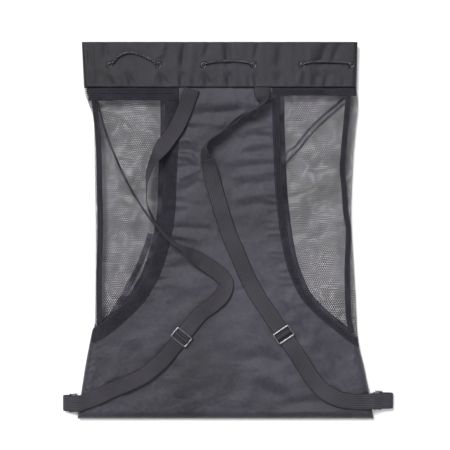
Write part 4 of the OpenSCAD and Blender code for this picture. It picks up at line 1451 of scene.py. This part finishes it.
def stitch_run(p):
    """Stitches along a 3-D line, as short rounded beads."""
    s = lengths_along(p)
    t = tangents(p)
    section = circle(STITCH_R, 5)
    parts = []
    for at in np.arange(STITCH_PITCH / 2, s[-1], STITCH_PITCH):
        middle = sample(p, s, at)
        d = unit(sample(t, s, at))
        across = unit(np.cross(UP, d))
        ring = section @ np.stack([across, np.cross(d, across)])
        verts = np.vstack([middle + d * place * STITCH_LENGTH + size * ring for place, size in STITCH_RINGS])
        parts.append((verts, capped_grid(len(STITCH_RINGS), len(section))))
    return joined(parts)


def surface_run(path, offset, surface, lift):
    """Stitches on a surface, beside a path."""
    p = resample(np.asarray(path, float), 2.0)
    q = p + offset * sideways(p)
    q = q[(inset(q[:, 0], q[:, 1]) > 3.0) | (q[:, 1] > SEAM_Y)]
    return stitch_run(np.column_stack([q, surface(q[:, 0], q[:, 1]) + lift]))


# The stitching beside each binding: its routes, and how far the two rows lie from its middle.
STITCH_ROWS = {"inner": (SEAM_POINTS, {"left": 9.3, "right": 4.4}),
               "side": (SIDE_POINTS, {"left": 3.0, "right": 3.0})}
STITCH_TOP_Y = {"left": 208.0, "right": 216.0}
TAPE_LIFT = 0.82
runs = {}
for kind, (routes, offsets) in STITCH_ROWS.items():
    for side_name in SIDES:
        path = clip_path(routes[side_name], STITCH_TOP_Y[side_name])
        runs["stitch_" + kind + "_" + side_name] = [
            surface_run(path, row * offsets[side_name], back_height, TAPE_LIFT) for row in (-1, 1)]
runs["stitch_top"] = [surface_run(level_path(x0, x1, y), 0, back_height, lift) for x0, x1, y, lift in (
    (-224, -80, 220.6, 1.05), (-222, -80, 210.6, 0.85), (72, 204, 217.8, 0.95), (72, 204, 226.6, 0.95))]
runs["stitch_bottom"] = [surface_run(level_path(-236, 228, -296.5), 0, back_height, 0.1)]
for name, parts in runs.items():
    new_mesh(name, *joined(parts), THREAD, "binding")


def collar_face(x, y):
    """Top face of the collar's back half."""
    return COLLAR_FACE_Z + collar_relief(x, y)


collar_run = surface_run(level_path(-222, 200, SEAM_Y + 3.2), 0, collar_face, 0.05)
new_mesh("stitch_collar", *collar_run, THREAD, "nylon")

# ---- floor, light and world
FLOOR_HALF = 6.0
WORLD_STRENGTH = 0.45
floor_mesh = bpy.data.meshes.new("floor")
floor_mesh.from_pydata([(x * FLOOR_HALF, y * FLOOR_HALF, 0) for x, y in ((-1, -1), (1, -1), (1, 1), (-1, 1))],
                       [], [(0, 1, 2, 3)])
floor_mesh.materials.append(principled("studio_floor", (0.93, 0.93, 0.93), 0.9, Specular_IOR_Level=0.1))
floor = bpy.data.objects.new("floor", floor_mesh)
scene.collection.objects.link(floor)

world = bpy.data.worlds.new("studio")
world.use_nodes = True
background = world.node_tree.nodes["Background"].inputs
background["Color"].default_value = (1.0, 1.0, 1.0, 1.0)
background["Strength"].default_value = WORLD_STRENGTH
scene.world = world


def sun(name, toward, strength, spread):
    """Soft parallel light from the direction toward."""
    data = bpy.data.lights.new(name, "SUN")
    data.energy = strength
    data.angle = math.radians(spread)
    o = bpy.data.objects.new(name, data)
    o.rotation_euler = Vector(toward).to_track_quat("Z", "Y").to_euler()
    scene.collection.objects.link(o)


sun("key", (-0.50, 0.70, 1.35), 3.3, 22.0)
sun("fill", (0.9, -0.8, 1.5), 0.8, 40.0)
scene.view_settings.view_transform = "Standard"
